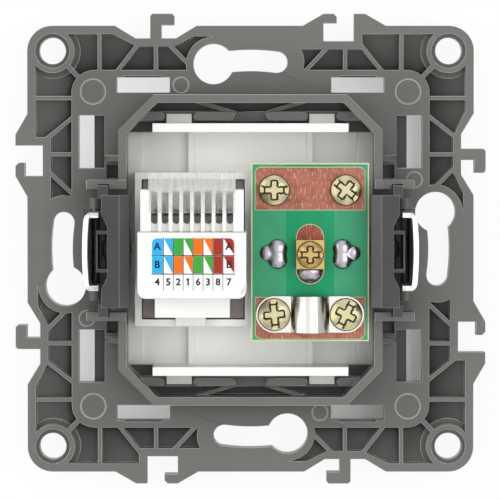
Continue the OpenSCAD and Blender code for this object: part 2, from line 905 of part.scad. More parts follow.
module block_section_2d() {
    wedge_y = 4;
    cam_y = claw_w / 2 - 0.3;
    seat = block_out - 0.9;
    polygon([
        [block_in, -block_half_l], [block_out, -block_half_l], [block_out, -cam_y],
        [seat, -wedge_y], [seat, wedge_y], [block_out, cam_y],
        [block_out, block_half_l], [block_in, block_half_l]
    ]);
}

// Ribs and thin wall of the pocket on the block's outer side
module block_pocket() {
    rib_at = 3;
    rib_t = 0.55;
    wall_x = block_out + 0.6;
    wall_t = 0.25;
    seat = block_out - 0.9 - over;
    z0 = cam_z + 0.4;
    z1 = block_z - 0.6;
    up_and_down() block(seat, wall_x, rib_at - rib_t / 2, rib_at + rib_t / 2, z0, z1);
    block(wall_x, wall_x + wall_t, -rib_at - rib_t / 2, rib_at + rib_t / 2, z0, z1);
}

module claw_block() {
    bevel_in = 1.5;
    bevel_up = 1.2;
    blind = screw_tip + block_travel + 0.3;
    difference() {
        union() {
            slab(cam_z, block_z) block_section_2d();
            block(block_in, block_out - 0.9, -hub_half, hub_half, cam_z - hub_drop, cam_z + over);
            up_and_down() block(
                lug_x - lug_w / 2, lug_x + lug_w / 2, block_half_l - over, block_half_l + lug_l,
                cam_z + 0.3, block_z - 0.5
            );
            block_pocket();
        }
        along_y(-block_half_l - 1, block_half_l + 1) polygon([
            [block_in - 1, block_z + 1], [block_in + bevel_in, block_z + 1],
            [block_in + bevel_in, block_z], [block_in, block_z - bevel_up],
            [block_in - 1, block_z - bevel_up]
        ]);
        translate([screw_x, 0, cam_z - hub_drop - 1])
            cylinder(d = screw_d + 2 * run_fit, h = blind - cam_z + hub_drop + 1);
    }
}

// Cross with one longer slot, as a cutter over a head of the given diameter
module drive_recess(d, depth) {
    cross_w = d * 0.2;
    cross_l = d * 0.62;
    cube([cross_l, cross_w, 2 * depth], center = true);
    cube([cross_w, cross_l, 2 * depth], center = true);
    cube([d + 1, cross_w, depth], center = true);
}

// Domed head with its seat at z = 0 and its shank below
module combi_screw(d, h, shank, length, turn) {
    dome = h * 0.4;
    sphere_r = (d * d / 4 + dome * dome) / (2 * dome);
    point = shank * 0.3;
    difference() {
        intersection() {
            cylinder(d = d, h = h);
            translate([0, 0, h - sphere_r]) sphere(sphere_r, $fn = 128);
        }
        translate([0, 0, h]) rotate([0, 0, turn]) drive_recess(d, h * 0.65);
    }
    translate([0, 0, point - length]) cylinder(d = shank, h = length - point + h * 0.1);
    translate([0, 0, -length]) cylinder(d1 = shank - 2 * point, d2 = shank, h = point);
}

module claw_screw() {
    length = screw_tip - front_z + run_fit;
    translate([screw_x, 0, front_z - run_fit]) rotate([180, 0, 0])
        combi_screw(screw_head_d, screw_head_h, screw_d, length, 0);
}

module screw_retainer() {
    ring_t = 0.4;
    translate([screw_x, 0, floor_z + run_fit]) difference() {
        cylinder(d = retainer_d, h = ring_t);
        translate([0, 0, -over]) cylinder(d = screw_d + 2 * press_fit, h = ring_t + 2 * over);
    }
}

module claw_right() color(zinc_steel) place() claw();
module claw_left() color(zinc_steel) place() mirror([1, 0, 0]) claw();
module claw_pin_right() color(zinc_steel) place() claw_pin();
module claw_pin_left() color(zinc_steel) place() mirror([1, 0, 0]) claw_pin();
module claw_block_right() color(black_plastic) place() claw_block();
module claw_block_left() color(black_plastic) place() mirror([1, 0, 0]) claw_block();
module claw_screw_right() color(yellow_zinc) place() claw_screw();
module claw_screw_left() color(yellow_zinc) place() mirror([1, 0, 0]) claw_screw();
module screw_retainer_right() color(zinc_steel) place() screw_retainer();
module screw_retainer_left() color(zinc_steel) place() mirror([1, 0, 0]) screw_retainer();

// Data jack

module jack_nose() color(dark_plastic) place() translate([jack_x, 0]) difference() {
    nose_half_h = 7;
    wire_room_x = 4 * wire_pitch + 0.12;
    end_wall = 2.5;
    union() {
        block(-nose_x, nose_x, -nose_half_h, nose_half_h, plate_back, nose_back);
        slab(flange_back - flange_t, flange_back) square([flange_w, flange_h], center = true);
    }
    slab(plate_back - over, nose_back - end_wall) translate([0, port_y]) port_shape_2d(0);
    block(-wire_room_x, wire_room_x, port_y, wire_y + 0.5, plate_back + 1, nose_back + over);
}

// Eight bent wires: a straight run along the roof and a sprung run into the port
module port_contacts() color(brass_metal) place() translate([jack_x, 0]) {
    z0 = plate_back + 1.8;
    spring_l = 9.6;
    dip = 9;
    for (i = [0:7]) translate([(i - 3.5) * wire_pitch, wire_y, 0]) {
        translate([-wire_d / 2, -wire_d / 2, z0]) cube([wire_d, wire_d, nose_back - z0]);
        translate([-wire_d / 2, 0, z0]) rotate([dip, 0, 0])
            translate([0, -wire_d / 2, 0]) cube([wire_d, wire_d, spring_l]);
    }
}

module jack_latch() color(white_plastic) place() translate([jack_x, 0]) {
    latch_y = -flange_h / 2 + 0.7;
    latch_x = 5.86;
    wall = 1.2;
    sill = 1;
    latch_drop = 6;
    back = cover_back - latch_drop;
    tongue_w = 4.8;
    tongue_x = -0.4;
    top = cover_y - cover_l - 0.05;
    hook = carrier_y + carrier_wall;
    hook_bevel = 0.2;
    difference() {
        block(-latch_x, latch_x, latch_y, top, flange_back, back);
        block(wall - latch_x, latch_x - wall, latch_y + sill, top + over, flange_back - over, back - wall);
    }
    z0 = carrier_z + snap_gap;
    z1 = z0 + 1.4;
    along_x(tongue_x - tongue_w / 2, tongue_x + tongue_w / 2) polygon([
        [latch_y + over, z0], [-hook, z0], [-hook, z1 - hook_bevel], [hook_bevel - hook, z1],
        [latch_y + over, z1]
    ]);
}

module jack_board() color(board_green) place() translate([jack_x, 0]) {
    low = cover_y - cover_l;
    block(-idc_w / 2, idc_w / 2, low, idc_top, nose_back, jack_board_back);
}

module idc_slots() {
    for (i = [0:7]) translate([(i - 3.5) * idc_pitch, 0, 0]) children();
}

// Comb with eight slots, each with a round end and a shallow lead-in ramp
module idc_block() color(white_plastic) place() translate([jack_x, 0]) difference() {
    ramp_start = 0.9;
    ramp_end = 1.6;
    hole_y = 0.7;
    hole_l = 0.9;
    block(-idc_w / 2, idc_w / 2, idc_y, idc_top, jack_board_back, idc_back);
    idc_slots() {
        translate([0, idc_slot_y, idc_floor]) cylinder(d = idc_slot, h = idc_h);
        block(-idc_slot / 2, idc_slot / 2, idc_slot_y, idc_top + over, idc_floor, idc_back + over);
        along_x(-idc_slot / 2, idc_slot / 2) polygon([
            [idc_y - over, idc_back + over], [idc_y - over, idc_back - ramp_start],
            [idc_slot_y, idc_back - ramp_end], [idc_slot_y, idc_back + over]
        ]);
        slab(jack_board_back - over, idc_floor + over)
            translate([-idc_slot / 2, idc_slot_y + hole_y]) square([idc_slot, hole_l]);
    }
}

// Each contact is a fork of two blades with a foot on the jack board
module idc_contacts() color(nickel_metal) place() translate([jack_x, 0]) {
    blade_y = idc_slot_y + 0.95;
    blade_t = 0.4;
    blade_drop = 1.4;
    root = 2;
    width = idc_slot - 0.2;
    wire_gap = 0.3;
    idc_slots() difference() {
        block(-width / 2, width / 2, blade_y, blade_y + blade_t, jack_board_back, idc_back - blade_drop);
        block(-wire_gap / 2, wire_gap / 2, blade_y - over, blade_y + blade_t + over,
              jack_board_back + root, idc_back);
    }
}

// Clear cap with a rear plate, a lip over the upper edge and fingers in the slots
module idc_cap() color(clear_plastic, 0.6) place() translate([jack_x, 0]) {
    cap_w = 8 * idc_pitch + 0.1;
    low = idc_top - cap_l;
    lip_t = 1.1;
    lip_l = 4;
    lip_y = idc_top + 1.6;
    finger_w = idc_slot - 0.24;
    finger_l = 3;
    finger_t = 1.1;
    block(-cap_w / 2, cap_w / 2, low, lip_y + lip_t, idc_back, idc_back + cap_t);
    block(-cap_w / 2, cap_w / 2, lip_y, lip_y + lip_t, idc_back - lip_l, idc_back + over);
    idc_slots() block(
        -finger_w / 2, finger_w / 2, idc_top - finger_l, idc_top, idc_back - finger_t, idc_back + over
    );
}

module cover_outline_2d(inset) {
    r = 1.3;
    low = cover_y - cover_l + inset;
    w = cover_w / 2 - inset;
    corner = max(r - inset, 0.1);
    translate([-w, low + corner]) square([2 * w, cover_y - inset - low - corner]);
    translate([-w + corner, low]) square([2 * (w - corner), corner + 0.1]);
    for (x = [-1, 1]) translate([x * (w - corner), low + corner]) circle(corner);
}

module label_cover() color(white_plastic) place() translate([jack_x, 0]) difference() {
    slab(jack_board_back, cover_back) cover_outline_2d(0);
    slab(jack_board_back - over, cover_back - cover_wall) cover_outline_2d(cover_wall);
}

module wiring_label() color("white") place() translate([jack_x + 0.2, cover_y - 0.78 - label_l / 2]) {
    label_t = 0.12;
    label_r = 0.9;
    slab(cover_back, cover_back + label_t) rounded_square_2d(label_w, label_l, label_r);
}

// TV board and port, drawn around the port's axis

module at_tv() {
    place() translate([tv_x, tv_y, 0]) children();
}

module ground_tabs_2d(gap) {
    both_sides() translate([ground_tab_x, 0])
        square([ground_tab_t + 2 * gap, ground_tab_w + 2 * gap], center = true);
}

module terminal_legs_2d(gap) {
    leg_w = 2.6;
    both_sides() translate([terminal_w / 2 - terminal_t / 2, 0])
        square([terminal_t + 2 * gap, leg_w + 2 * gap], center = true);
}

module screw_holes(gap) {
    for (x = [-1, 1], y = [screw_up, -screw_down]) translate([x * screw_off_x, y, board_front - over])
        cylinder(d = shank_d + 2 * gap, h = board_t + 2);
}

module tv_board() color(board_green) at_tv() difference() {
    slab(board_front, board_back) translate([0, board_rise]) square([board_w, board_l], center = true);
    screw_holes(snap_gap);
    slab(board_front - over, board_back + over) {
        ground_tabs_2d(press_fit);
        terminal_legs_2d(press_fit);
        translate([0, pin_tail_y]) circle(pin_tail_d / 2 + press_fit);
    }
}

// A ground band below y = 0 with round upper corners and square lower ones
module ground_band_2d(l) {
    side_margin = 0.7;
    corner = 0.9;
    w = board_w - 2 * side_margin;
    translate([0, -l / 2]) rounded_square_2d(w, l, corner);
    translate([-w / 2, -l]) square([w, l / 2]);
}

// Upper and lower ground bands and the pad under the terminal
module copper_lands() color(copper_metal) at_tv() difference() {
    upper_margin = 0.7;
    lower_margin = 0.4;
    upper = 6.65;
    lower = 6.5;
    slab(board_back, foil_back) {
        translate([0, board_rise + board_l / 2 - upper_margin]) ground_band_2d(upper);
        translate([0, board_rise - board_l / 2 + lower_margin]) rotate(180) ground_band_2d(lower);
        rounded_square_2d(land_pad_w, land_pad_l, land_pad_w / 2 - 0.01);
    }
    screw_holes(snap_gap);
    slab(board_front, foil_back + over) {
        terminal_legs_2d(press_fit);
        translate([0, pin_tail_y]) circle(pin_tail_d / 2 + press_fit);
    }
}

// A drop of solder: the part of a ball that stands above the given level
module solder_drop(r, rise, level) {
    ball = (r * r + rise * rise) / (2 * rise);
    intersection() {
        translate([0, 0, level + rise - ball]) sphere(ball, $fn = 96);
        translate([0, 0, level]) cylinder(r = r + 1, h = rise + 1);
    }
}

module solder_joints() color(solder_metal) at_tv() {
    main_r = 1.25;
    main_dy = 0.85;
    rise = 1.1;
    side_r = 0.95;
    side_dx = 1.65;
    pin_r = land_pad_w / 2 - 0.08;
    pin_mid = -(land_pad_l - land_pad_w) / 2;
    clamp_end = -terminal_l / 2 - snap_gap;
    both_sides() difference() {
        union() {
            up_and_down() translate([ground_tab_x, main_dy, 0]) solder_drop(main_r, rise, board_back);
            translate([ground_tab_x + side_dx, 0.15, 0]) solder_drop(side_r, 0.75, board_back);
        }
        slab(board_front, board_back + ground_tab_rise) ground_tabs_2d(press_fit);
    }
    difference() {
        intersection() {
            translate([0, pin_mid, 0]) solder_drop(pin_r, 0.8, foil_back);
            block(-land_pad_w, land_pad_w, -land_pad_l, clamp_end, board_front, foil_back + rise);
        }
        slab(board_front, board_back + pin_tail_rise)
            translate([0, pin_tail_y]) circle(pin_tail_d / 2 + press_fit);
    }
}

module board_screws() color(yellow_zinc) place() {
    turn = [0, -38];
    for (k = [0, 1]) translate([tv_x + (2 * k - 1) * screw_off_x, tv_y + screw_up, foil_back])
        combi_screw(board_head_d, head_h, shank_d, board_t + pilot_depth - 0.5, turn[k]);
}

module clamp_screws() color(yellow_zinc) place() {
    turn = [96, 62];
    for (k = [0, 1]) translate([tv_x + (2 * k - 1) * screw_off_x, tv_y - screw_down, foil_back + saddle_t])
        combi_screw(clamp_head_d, head_h, shank_d, board_t + pilot_depth - 0.5, turn[k]);
}

// Strap with round ends under the clamp screws and an arch for the cable
module cable_saddle() color(nickel_metal) at_tv() translate([0, -screw_down, foil_back]) difference() {
    end_r = saddle_w / 2;
    outer = saddle_r + saddle_t;
    intersection() {
        along_y(-end_r, end_r) union() {
            translate([-screw_off_x - end_r, 0]) square([2 * (screw_off_x + end_r), saddle_t]);
            intersection() {
                circle(outer);
                translate([-outer, 0]) square([2 * outer, outer]);
            }
        }
        slab(-over, outer + over) {
            square([2 * screw_off_x, saddle_w - 0.02], center = true);
            for (x = [-screw_off_x, screw_off_x]) translate([x, 0]) circle(end_r);
        }
    }
    along_y(-end_r - 1, end_r + 1) circle(saddle_r);
    both_sides() translate([screw_off_x, 0, 0]) {
        translate([0, 0, -over]) cylinder(d = shank_d + 2 * snap_gap, h = saddle_t + 2 * over);
        translate([0, 0, saddle_t]) cylinder(d = clamp_head_d + 2 * run_fit, h = outer);
    }
}

module terminal_clamp() color(brass_metal) at_tv() difference() {
    union() {
        slab(terminal_z, terminal_z + terminal_t) square([terminal_w, terminal_l], center = true);
        slab(foil_back, terminal_z + 0.1) both_sides()
            translate([terminal_w / 2 - terminal_t / 2, 0]) square([terminal_t, terminal_l], center = true);
        slab(board_front, foil_back + 0.1) terminal_legs_2d(0);
    }
    translate([0, 0, terminal_z - over]) cylinder(d = shank_d + 2 * press_fit, h = terminal_t + 2 * over);
}

module terminal_screw() color(brass_metal) at_tv() translate([0, 0, terminal_z + terminal_t])
    combi_screw(terminal_head_d, head_h, shank_d, terminal_t + terminal_room - 0.4, 0);

module coax_barrel() color(nickel_metal) at_tv() {
    back = board_front - 1.2;
    seat_r = barrel_r + 0.8;
    difference() {
        union() {
            translate([0, 0, plate_front + 0.2]) cylinder(r = barrel_r, h = back - plate_front);
            translate([0, 0, back]) cylinder(r = seat_r, h = board_front - back);
            slab(back, board_back + ground_tab_rise) ground_tabs_2d(0);
        }
        translate([0, 0, plate_front - over]) cylinder(r = coax_r, h = board_front - plate_front + over);
    }
}

module coax_insulator() color("white") at_tv() difference() {
    translate([0, 0, insulator_z0]) cylinder(r = coax_r - press_fit, h = insulator_t);
    translate([0, 0, insulator_z0 - over])
        cylinder(d = coax_pin_d + 2 * press_fit, h = insulator_t + 2 * over);
}

// The pin runs back through the insulator, steps down and ends in the board
module coax_pin() color(nickel_metal) at_tv() {
    start = plate_front + 1;
    step_z = insulator_z1 + 0.3;
    r = coax_pin_d / 2;
    nose = 0.6;
    translate([0, 0, start + nose]) cylinder(r = r, h = step_z + r - start - nose);
    translate([0, 0, start]) cylinder(r1 = r - nose * 0.7, r2 = r, h = nose);
    block(-pin_tail_d / 2, pin_tail_d / 2, pin_tail_y, 0, step_z, step_z + r);
    translate([0, pin_tail_y, step_z]) cylinder(d = pin_tail_d, h = board_back + pin_tail_rise - step_z);
}

support_frame();
insert_plate();
claw_left();
claw_right();
claw_pin_left();
claw_pin_right();
claw_block_left();
claw_block_right();
claw_screw_left();
claw_screw_right();
screw_retainer_left();
screw_retainer_right();
jack_nose();
jack_latch();
jack_board();
port_contacts();
idc_block();
idc_contacts();
idc_cap();
label_cover();
wiring_label();
tv_board();
copper_lands();
solder_joints();
board_screws();
clamp_screws();
cable_saddle();
terminal_clamp();
terminal_screw();
coax_barrel();
coax_insulator();
coax_pin();
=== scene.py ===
import json
import math

import bpy
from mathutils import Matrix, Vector

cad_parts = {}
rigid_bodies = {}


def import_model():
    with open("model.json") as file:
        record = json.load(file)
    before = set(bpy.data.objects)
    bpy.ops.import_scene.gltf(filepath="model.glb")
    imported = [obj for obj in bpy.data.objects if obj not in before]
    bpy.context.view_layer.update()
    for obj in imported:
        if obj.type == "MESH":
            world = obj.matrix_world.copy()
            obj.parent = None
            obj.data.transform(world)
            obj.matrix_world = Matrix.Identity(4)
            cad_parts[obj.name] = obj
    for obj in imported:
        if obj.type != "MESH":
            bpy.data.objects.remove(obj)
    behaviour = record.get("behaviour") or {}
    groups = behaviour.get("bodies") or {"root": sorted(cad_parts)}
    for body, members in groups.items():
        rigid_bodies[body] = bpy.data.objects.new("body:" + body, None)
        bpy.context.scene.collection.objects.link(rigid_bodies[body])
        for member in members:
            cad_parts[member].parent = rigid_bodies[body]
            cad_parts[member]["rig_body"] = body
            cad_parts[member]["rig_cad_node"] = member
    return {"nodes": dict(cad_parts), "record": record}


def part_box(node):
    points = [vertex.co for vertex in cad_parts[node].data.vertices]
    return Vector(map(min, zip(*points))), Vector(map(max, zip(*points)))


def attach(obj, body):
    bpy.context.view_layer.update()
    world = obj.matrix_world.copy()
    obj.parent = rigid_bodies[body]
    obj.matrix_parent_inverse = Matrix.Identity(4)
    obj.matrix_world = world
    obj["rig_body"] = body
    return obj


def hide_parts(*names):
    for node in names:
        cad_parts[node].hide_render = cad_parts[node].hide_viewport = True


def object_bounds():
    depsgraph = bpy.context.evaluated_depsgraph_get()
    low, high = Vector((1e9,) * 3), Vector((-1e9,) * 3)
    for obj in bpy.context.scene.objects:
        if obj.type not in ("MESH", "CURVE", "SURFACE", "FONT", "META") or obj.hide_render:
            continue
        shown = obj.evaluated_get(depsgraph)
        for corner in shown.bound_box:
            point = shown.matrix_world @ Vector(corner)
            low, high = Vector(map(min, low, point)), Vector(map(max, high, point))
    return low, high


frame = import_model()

bl_info = {
    "name": "TV and data wall socket",
    "version": (1, 0, 0),
    "blender": (4, 5, 0),
    "location": "View3D > Sidebar > Socket",
    "description": "Dresses the packed wall socket and sets the stage around it",
    "category": "Object",
}

BODY_OF = {n: b for b, names in frame["record"]["behaviour"]["bodies"].items() for n in names}
SLOT_OF = {s["node"]: s["material_slot"] for s in frame["record"]["subparts"]}
CAD_BOX = [list(corner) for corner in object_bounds()]
SIDES = ("left", "right")
MM = 0.001
MERGE_DISTANCE = 0.002 * MM
PLACE_TOLERANCE = 0.01 * MM
CUT_TOLERANCE = 0.001 * MM
SMOOTH_ANGLE = math.radians(36)
FLAT = 0.9995
UPRIGHT = (math.radians(90), 0, 0)


def linear(r, g, b):
    """A colour from 0 to 255 as screens show it, as linear values."""
    return tuple(c / 255 / 12.92 if c <= 10 else ((c / 255 + 0.055) / 1.055) ** 2.4 for c in (r, g, b))


def colour(name, description, r, g, b):
    """A colour property, given as screens show it."""
    return bpy.props.FloatVectorProperty(
        name=name, description=description, subtype="COLOR", size=3, min=0, max=1, default=linear(r, g, b)
    )


def length(name, description, millimetres):
    """A length property, given in millimetres."""
    return bpy.props.FloatProperty(
        name=name, description=description, unit="LENGTH", precision=5, min=0, default=millimetres * MM
    )


def power(name, description, watts):
    """A lamp's power."""
    return bpy.props.FloatProperty(name=name, description=description, unit="POWER", min=0, default=watts)


class SocketColours(bpy.types.PropertyGroup):
    """Colours of the finishes."""

    grey: colour("Grey moulding", "Support frame", 100, 100, 97)
    # painted highlight: a light grey on the rounded edges, for the light they catch
    edge: colour("Edge highlight", "Thin bright edges of the grey and black mouldings", 170, 170, 167)
    white: colour("White moulding", "Insert, jack latch, wiring block and label cover", 238, 238, 235)
    black: colour("Black moulding", "Nut blocks of the claws", 56, 55, 56)
    dark: colour("Dark moulding", "Nose of the data jack and, darker, the wiring forks", 124, 113, 109)
    clear: colour("Clear moulding", "Cap over the wiring block", 216, 216, 212)
    insulator: colour("Insulator", "Insulator of the TV port", 236, 234, 228)
    zinc: colour("Zinc plated steel", "Claws and, darker, their pins and press rings", 232, 232, 229)
    yellow: colour("Yellow zinc", "Board, clamp and claw screws", 160, 153, 117)
    nickel: colour("Nickel", "Cable saddle, port barrel and pin", 182, 181, 176)
    brass: colour("Brass", "Terminal and port contacts", 156, 132, 84)
    copper: colour("Copper", "Lands of the TV board", 146, 90, 72)
    tarnish: colour("Tarnish", "Dark stains on the copper", 122, 68, 50)
    # the darker colour that the copper turns to on the centre pad
    centre_pad_colour: colour("Flux", "Flux baked on the centre pad", 128, 58, 40)
    solder: colour("Solder", "Solder joints", 146, 143, 150)
    mask: colour("Solder mask", "Mask over bare board", 4, 144, 94)
    mask_copper: colour("Mask over copper", "Mask over the ground areas", 56, 152, 110)
    laminate: colour("Laminate", "Bare edges of the board", 210, 210, 166)
    paper: colour("Label paper", "Ground of the wiring label", 240, 240, 238)
    ink_blue: colour("Blue ink", "Blue pair on the label", 40, 172, 236)
    ink_green: colour("Green ink", "Green pair on the label", 56, 160, 56)
    ink_orange: colour("Orange ink", "Orange pair on the label", 247, 110, 18)
    ink_brown: colour("Brown ink", "Brown pair on the label", 160, 48, 34)
    ink_dark: colour("Dark ink", "Letters, digits and lines of the label", 44, 42, 44)


class SocketSizes(bpy.types.PropertyGroup):
    """Sizes of the details that the looks add to the solids."""

    edge: length("Edge round", "Round along the edges of plain mouldings", 0.09)
    fine_edge: length("Fine edge round", "Round along the edges of frames and small pieces", 0.055)
    floor_depth: length("Floor depth", "Depth of the border's pockets under the wall plane", 3.0)
    floor_start: length("Floor start", "Distance of the pocket floors from the middle", 27)
    floor_lean: bpy.props.FloatProperty(
        name="Floor lean", description="How far the pocket floors lean inwards", subtype="ANGLE",
        default=math.radians(8.5)
    )
    ink: length("Ink height", "How far the label's inks stand out of the paper", 0.02)
    letter: length("Letter height", "Height of the label's letters and digits", 1.13)
    label_corner: length("Label corner", "Round of the label's upper corners", 0.8)
    line: length("Label line", "Width of the lines between the label's cells", 0.2)
    outer_column: length("Outer column", "Width of the label's first and last columns", 1.86)
    row_a: length("Upper row", "Height of the label's upper row", 2.78)
    row_b: length("Middle row", "Height of the label's middle row", 2.86)
    pitch: length("Thread pitch", "Pitch of the claw screw's thread", 0.5)
    thread: length("Thread depth", "Depth of the claw screw's thread", 0.26)
    board_edge: length("Board edge", "Width of the bare laminate along the board's edges", 0.2)
    border: length("Land border", "Width of the pale line around the copper lands", 0.1)
    voxel: length("Solder grain", "Step of the mesh that rounds the solder", 0.07)
    wetting: length("Solder wetting", "How far the solder's drops run into each other", 0.38)
    # the dark edges are painted shade
    drive_edge: length("Drive edge", "Width of the dark edges of the screw heads and their slots", 0.15)
    cover_edge: length("Cover edge", "Round along the rear edge of the label cover", 0.3)


class SocketStage(bpy.types.PropertyGroup):
    """Camera and light."""

    distance: length("Camera distance", "Distance of the camera from the wall plane", 720)
    rise: length("Camera rise", "Height of the camera over the centre", 22)
    lens: bpy.props.FloatProperty(
        name="Lens", description="Focal length of the camera", unit="CAMERA", min=1, default=326
    )
    left: power("Left light", "Power of the soft light at the left", 4.3)
    right: power("Right light", "Power of the soft light at the right", 2.9)
    front: power("Front light", "Power of the wide light behind the camera", 9.7)
    top: power("Top light", "Power of the light from above", 0.9)
    fill: power("Fill light", "Power of the light from below", 1.2)
    room: power("Room light", "Power of the light on the room side", 6.5)
    sky: bpy.props.FloatProperty(
        name="Sky", description="Strength of the light from all around", subtype="FACTOR",
        min=0, max=2, default=0.3
    )


# Node trees


def add(tree, kind, inputs=(), **settings):
    """Adds a node; inputs pairs a socket's name or index with a value or with another node's output."""
    made = tree.nodes.new(kind)
    for key, value in settings.items():
        setattr(made, key, value)
    for socket, value in inputs:
        if isinstance(value, bpy.types.NodeSocket):
            tree.links.new(value, made.inputs[socket])
        else:
            made.inputs[socket].default_value = value
    return made


def noise(tree, vector, scale, detail=2.0):
    made = add(tree, "ShaderNodeTexNoise", [("Vector", vector), ("Scale", scale), ("Detail", detail)])
    return made.outputs["Fac"]


def spread(tree, value, low, high, start=0.3, end=0.7):
    """Maps a value between start and end to low and high."""
    made = add(tree, "ShaderNodeMapRange", [
        ("Value", value), ("From Min", start), ("From Max", end), ("To Min", low), ("To Max", high)
    ])
    return made.outputs["Result"]


def maths(tree, operation, a, b=0.0):
    return add(tree, "ShaderNodeMath", [(0, a), (1, b)], operation=operation).outputs["Value"]


def plus(tree, a, b):
    return maths(tree, "ADD", a, b)


def minus(tree, a, b):
    return maths(tree, "SUBTRACT", a, b)


def times(tree, a, b):
    return maths(tree, "MULTIPLY", a, b)


def from_middle(tree, value, middle):
    """How far a coordinate lies from the middle."""
    return maths(tree, "ABSOLUTE", minus(tree, value, middle))


def axes_of(tree, vector):
    """The outputs X, Y and Z of a vector."""
    return add(tree, "ShaderNodeSeparateXYZ", [(0, vector)]).outputs


def mix(tree, factor, a, b):
    made = add(tree, "ShaderNodeMix", [(0, factor), (6, a), (7, b)], data_type="RGBA")
    return made.outputs[2]


def tone(tree, base, value):
    """The base colour made lighter or darker by a factor."""
    made = add(tree, "ShaderNodeHueSaturation", [("Value", value), ("Color", base)])
    return made.outputs["Color"]


def stretched(tree, vector, scale):
    return add(tree, "ShaderNodeMapping", [("Vector", vector), ("Scale", scale)]).outputs["Vector"]


def object_place(tree):
    return add(tree, "ShaderNodeTexCoord").outputs["Object"]


def bump(tree, height, strength, distance=0.02 * MM):
    made = add(tree, "ShaderNodeBump", [
        ("Strength", strength), ("Distance", distance), ("Height", height)
    ])
    return made.outputs["Normal"]


def background_rays(tree):
    """Rays that meet the white background: from the camera, off metal and through clear pieces."""
    path = add(tree, "ShaderNodeLightPath").outputs
    beyond = maths(tree, "MAXIMUM", path["Is Glossy Ray"], path["Is Transmission Ray"])
    return maths(tree, "MAXIMUM", path["Is Camera Ray"], beyond)


def new_group(name, inputs, outputs):
    """A shader node group, whose inputs are colours or numbers, with its input and output nodes."""
    tree = bpy.data.node_groups.new(name, "ShaderNodeTree")
    for label, value in inputs.items():
        kind = "NodeSocketColor" if isinstance(value, tuple) else "NodeSocketFloat"
        tree.interface.new_socket(name=label, in_out="INPUT", socket_type=kind).default_value = value
    for kind, label in outputs:
        tree.interface.new_socket(name=label, in_out="OUTPUT", socket_type=kind)
    return tree, tree.nodes.new("NodeGroupInput").outputs, tree.nodes.new("NodeGroupOutput").inputs


def kept(kind, name):
    """Lets a node group or a finish be made once and found by its name after that."""
    def keep(make):
        def found():
            return getattr(bpy.data, kind).get(name) or make()
        return found
    return keep


SURFACE_OUT = (
    ("NodeSocketColor", "Color"), ("NodeSocketFloat", "Roughness"), ("NodeSocketVector", "Normal"),
)


@kept("node_groups", "moulded_surface")
def moulded_group():
    """Colour drift, fine grain and uneven gloss of moulded plastic."""
    tree, given, made = new_group("moulded_surface", {
        "Color": (0.5, 0.5, 0.5, 1), "Drift": 0.05, "Gloss": 0.5, "Grain": 0.1,
    }, SURFACE_OUT)
    place = object_place(tree)
    cloud = minus(tree, noise(tree, place, 140, 4), 0.5)
    speck = minus(tree, noise(tree, place, 2600, 3), 0.5)
    both = plus(tree, cloud, times(tree, speck, 0.6))
    drift = times(tree, both, given["Drift"])
    tree.links.new(tone(tree, given["Color"], plus(tree, drift, 1.0)), made["Color"])
    uneven = times(tree, minus(tree, noise(tree, place, 420, 3), 0.5), 0.22)
    tree.links.new(plus(tree, given["Gloss"], uneven), made["Roughness"])
    tree.links.new(bump(tree, noise(tree, place, 9000, 2), given["Grain"]), made["Normal"])
    return tree


@kept("node_groups", "plated_surface")
def plated_group():
    """Streaks, stains and uneven gloss of plated or rolled metal."""
    tree, given, made = new_group("plated_surface", {
        "Color": (0.7, 0.7, 0.7, 1), "Stain": (0.3, 0.3, 0.3, 1), "Stained": 0.25, "Gloss": 0.25,
        "Streak": 0.15,
    }, SURFACE_OUT)
    place = object_place(tree)
    streak = noise(tree, stretched(tree, place, (5200, 5200, 420)), 1, 3)
    patch = spread(tree, noise(tree, place, 900, 5), 0, 1, 0.48, 0.72)
    stained = mix(tree, times(tree, patch, given["Stained"]), given["Color"], given["Stain"])
    shade = times(tree, minus(tree, streak, 0.5), given["Streak"])
    tree.links.new(tone(tree, stained, plus(tree, shade, 1.0)), made["Color"])
    uneven = times(tree, plus(tree, streak, patch), 0.12)
    tree.links.new(plus(tree, given["Gloss"], uneven), made["Roughness"])
    tree.links.new(bump(tree, streak, 0.12), made["Normal"])
    return tree


@kept("node_groups", "board_weave")
def weave_group():
    """Mask for the glass weave under a board's lacquer, with its faint relief."""
    tree, given, made = new_group("board_weave", {"Scale": 1400}, (
        ("NodeSocketFloat", "Weave"), ("NodeSocketVector", "Normal"),
    ))
    place = object_place(tree)
    threads = [("Vector", place), ("Scale", given["Scale"]), ("Distortion", 1.2)]
    across = add(tree, "ShaderNodeTexWave", threads)
    along = add(tree, "ShaderNodeTexWave", threads, bands_direction="Z")
    weave = times(tree, across.outputs["Fac"], along.outputs["Fac"])
    tree.links.new(weave, made["Weave"])
    tree.links.new(bump(tree, weave, 0.06), made["Normal"])
    return tree


# Materials


def rgba(value):
    return (*value, 1.0)


def scaled(base, factor):
    """A colour with its light scaled by a factor."""
    return [value * factor for value in base]


def palette():
    return bpy.context.scene.socket_colours


def known(name):
    """The finish of that name, if it has been made."""
    return bpy.data.materials.get(name + "_finish")


def new_material(name):
    """A finish with its node tree and its shader."""
    material = bpy.data.materials.new(name + "_finish")
    material.use_nodes = True
    return material, *opened(material)


def opened(material):
    """The node tree and the shader of a finish."""
    return material.node_tree, material.node_tree.nodes["Principled BSDF"]


def grouped(name, group, inputs, fixed=()):
    """A material whose colour, roughness and normal come from a node group."""
    if known(name):
        return known(name)
    material, tree, shader = new_material(name)
    surface = add(tree, "ShaderNodeGroup", inputs, node_tree=group).outputs
    for key, socket in (("Color", "Base Color"), ("Roughness", "Roughness"), ("Normal", "Normal")):
        tree.links.new(surface[key], shader.inputs[socket])
    for key, value in fixed:
        shader.inputs[key].default_value = value
    return material


MATT = (("Specular IOR Level", 0.25),)


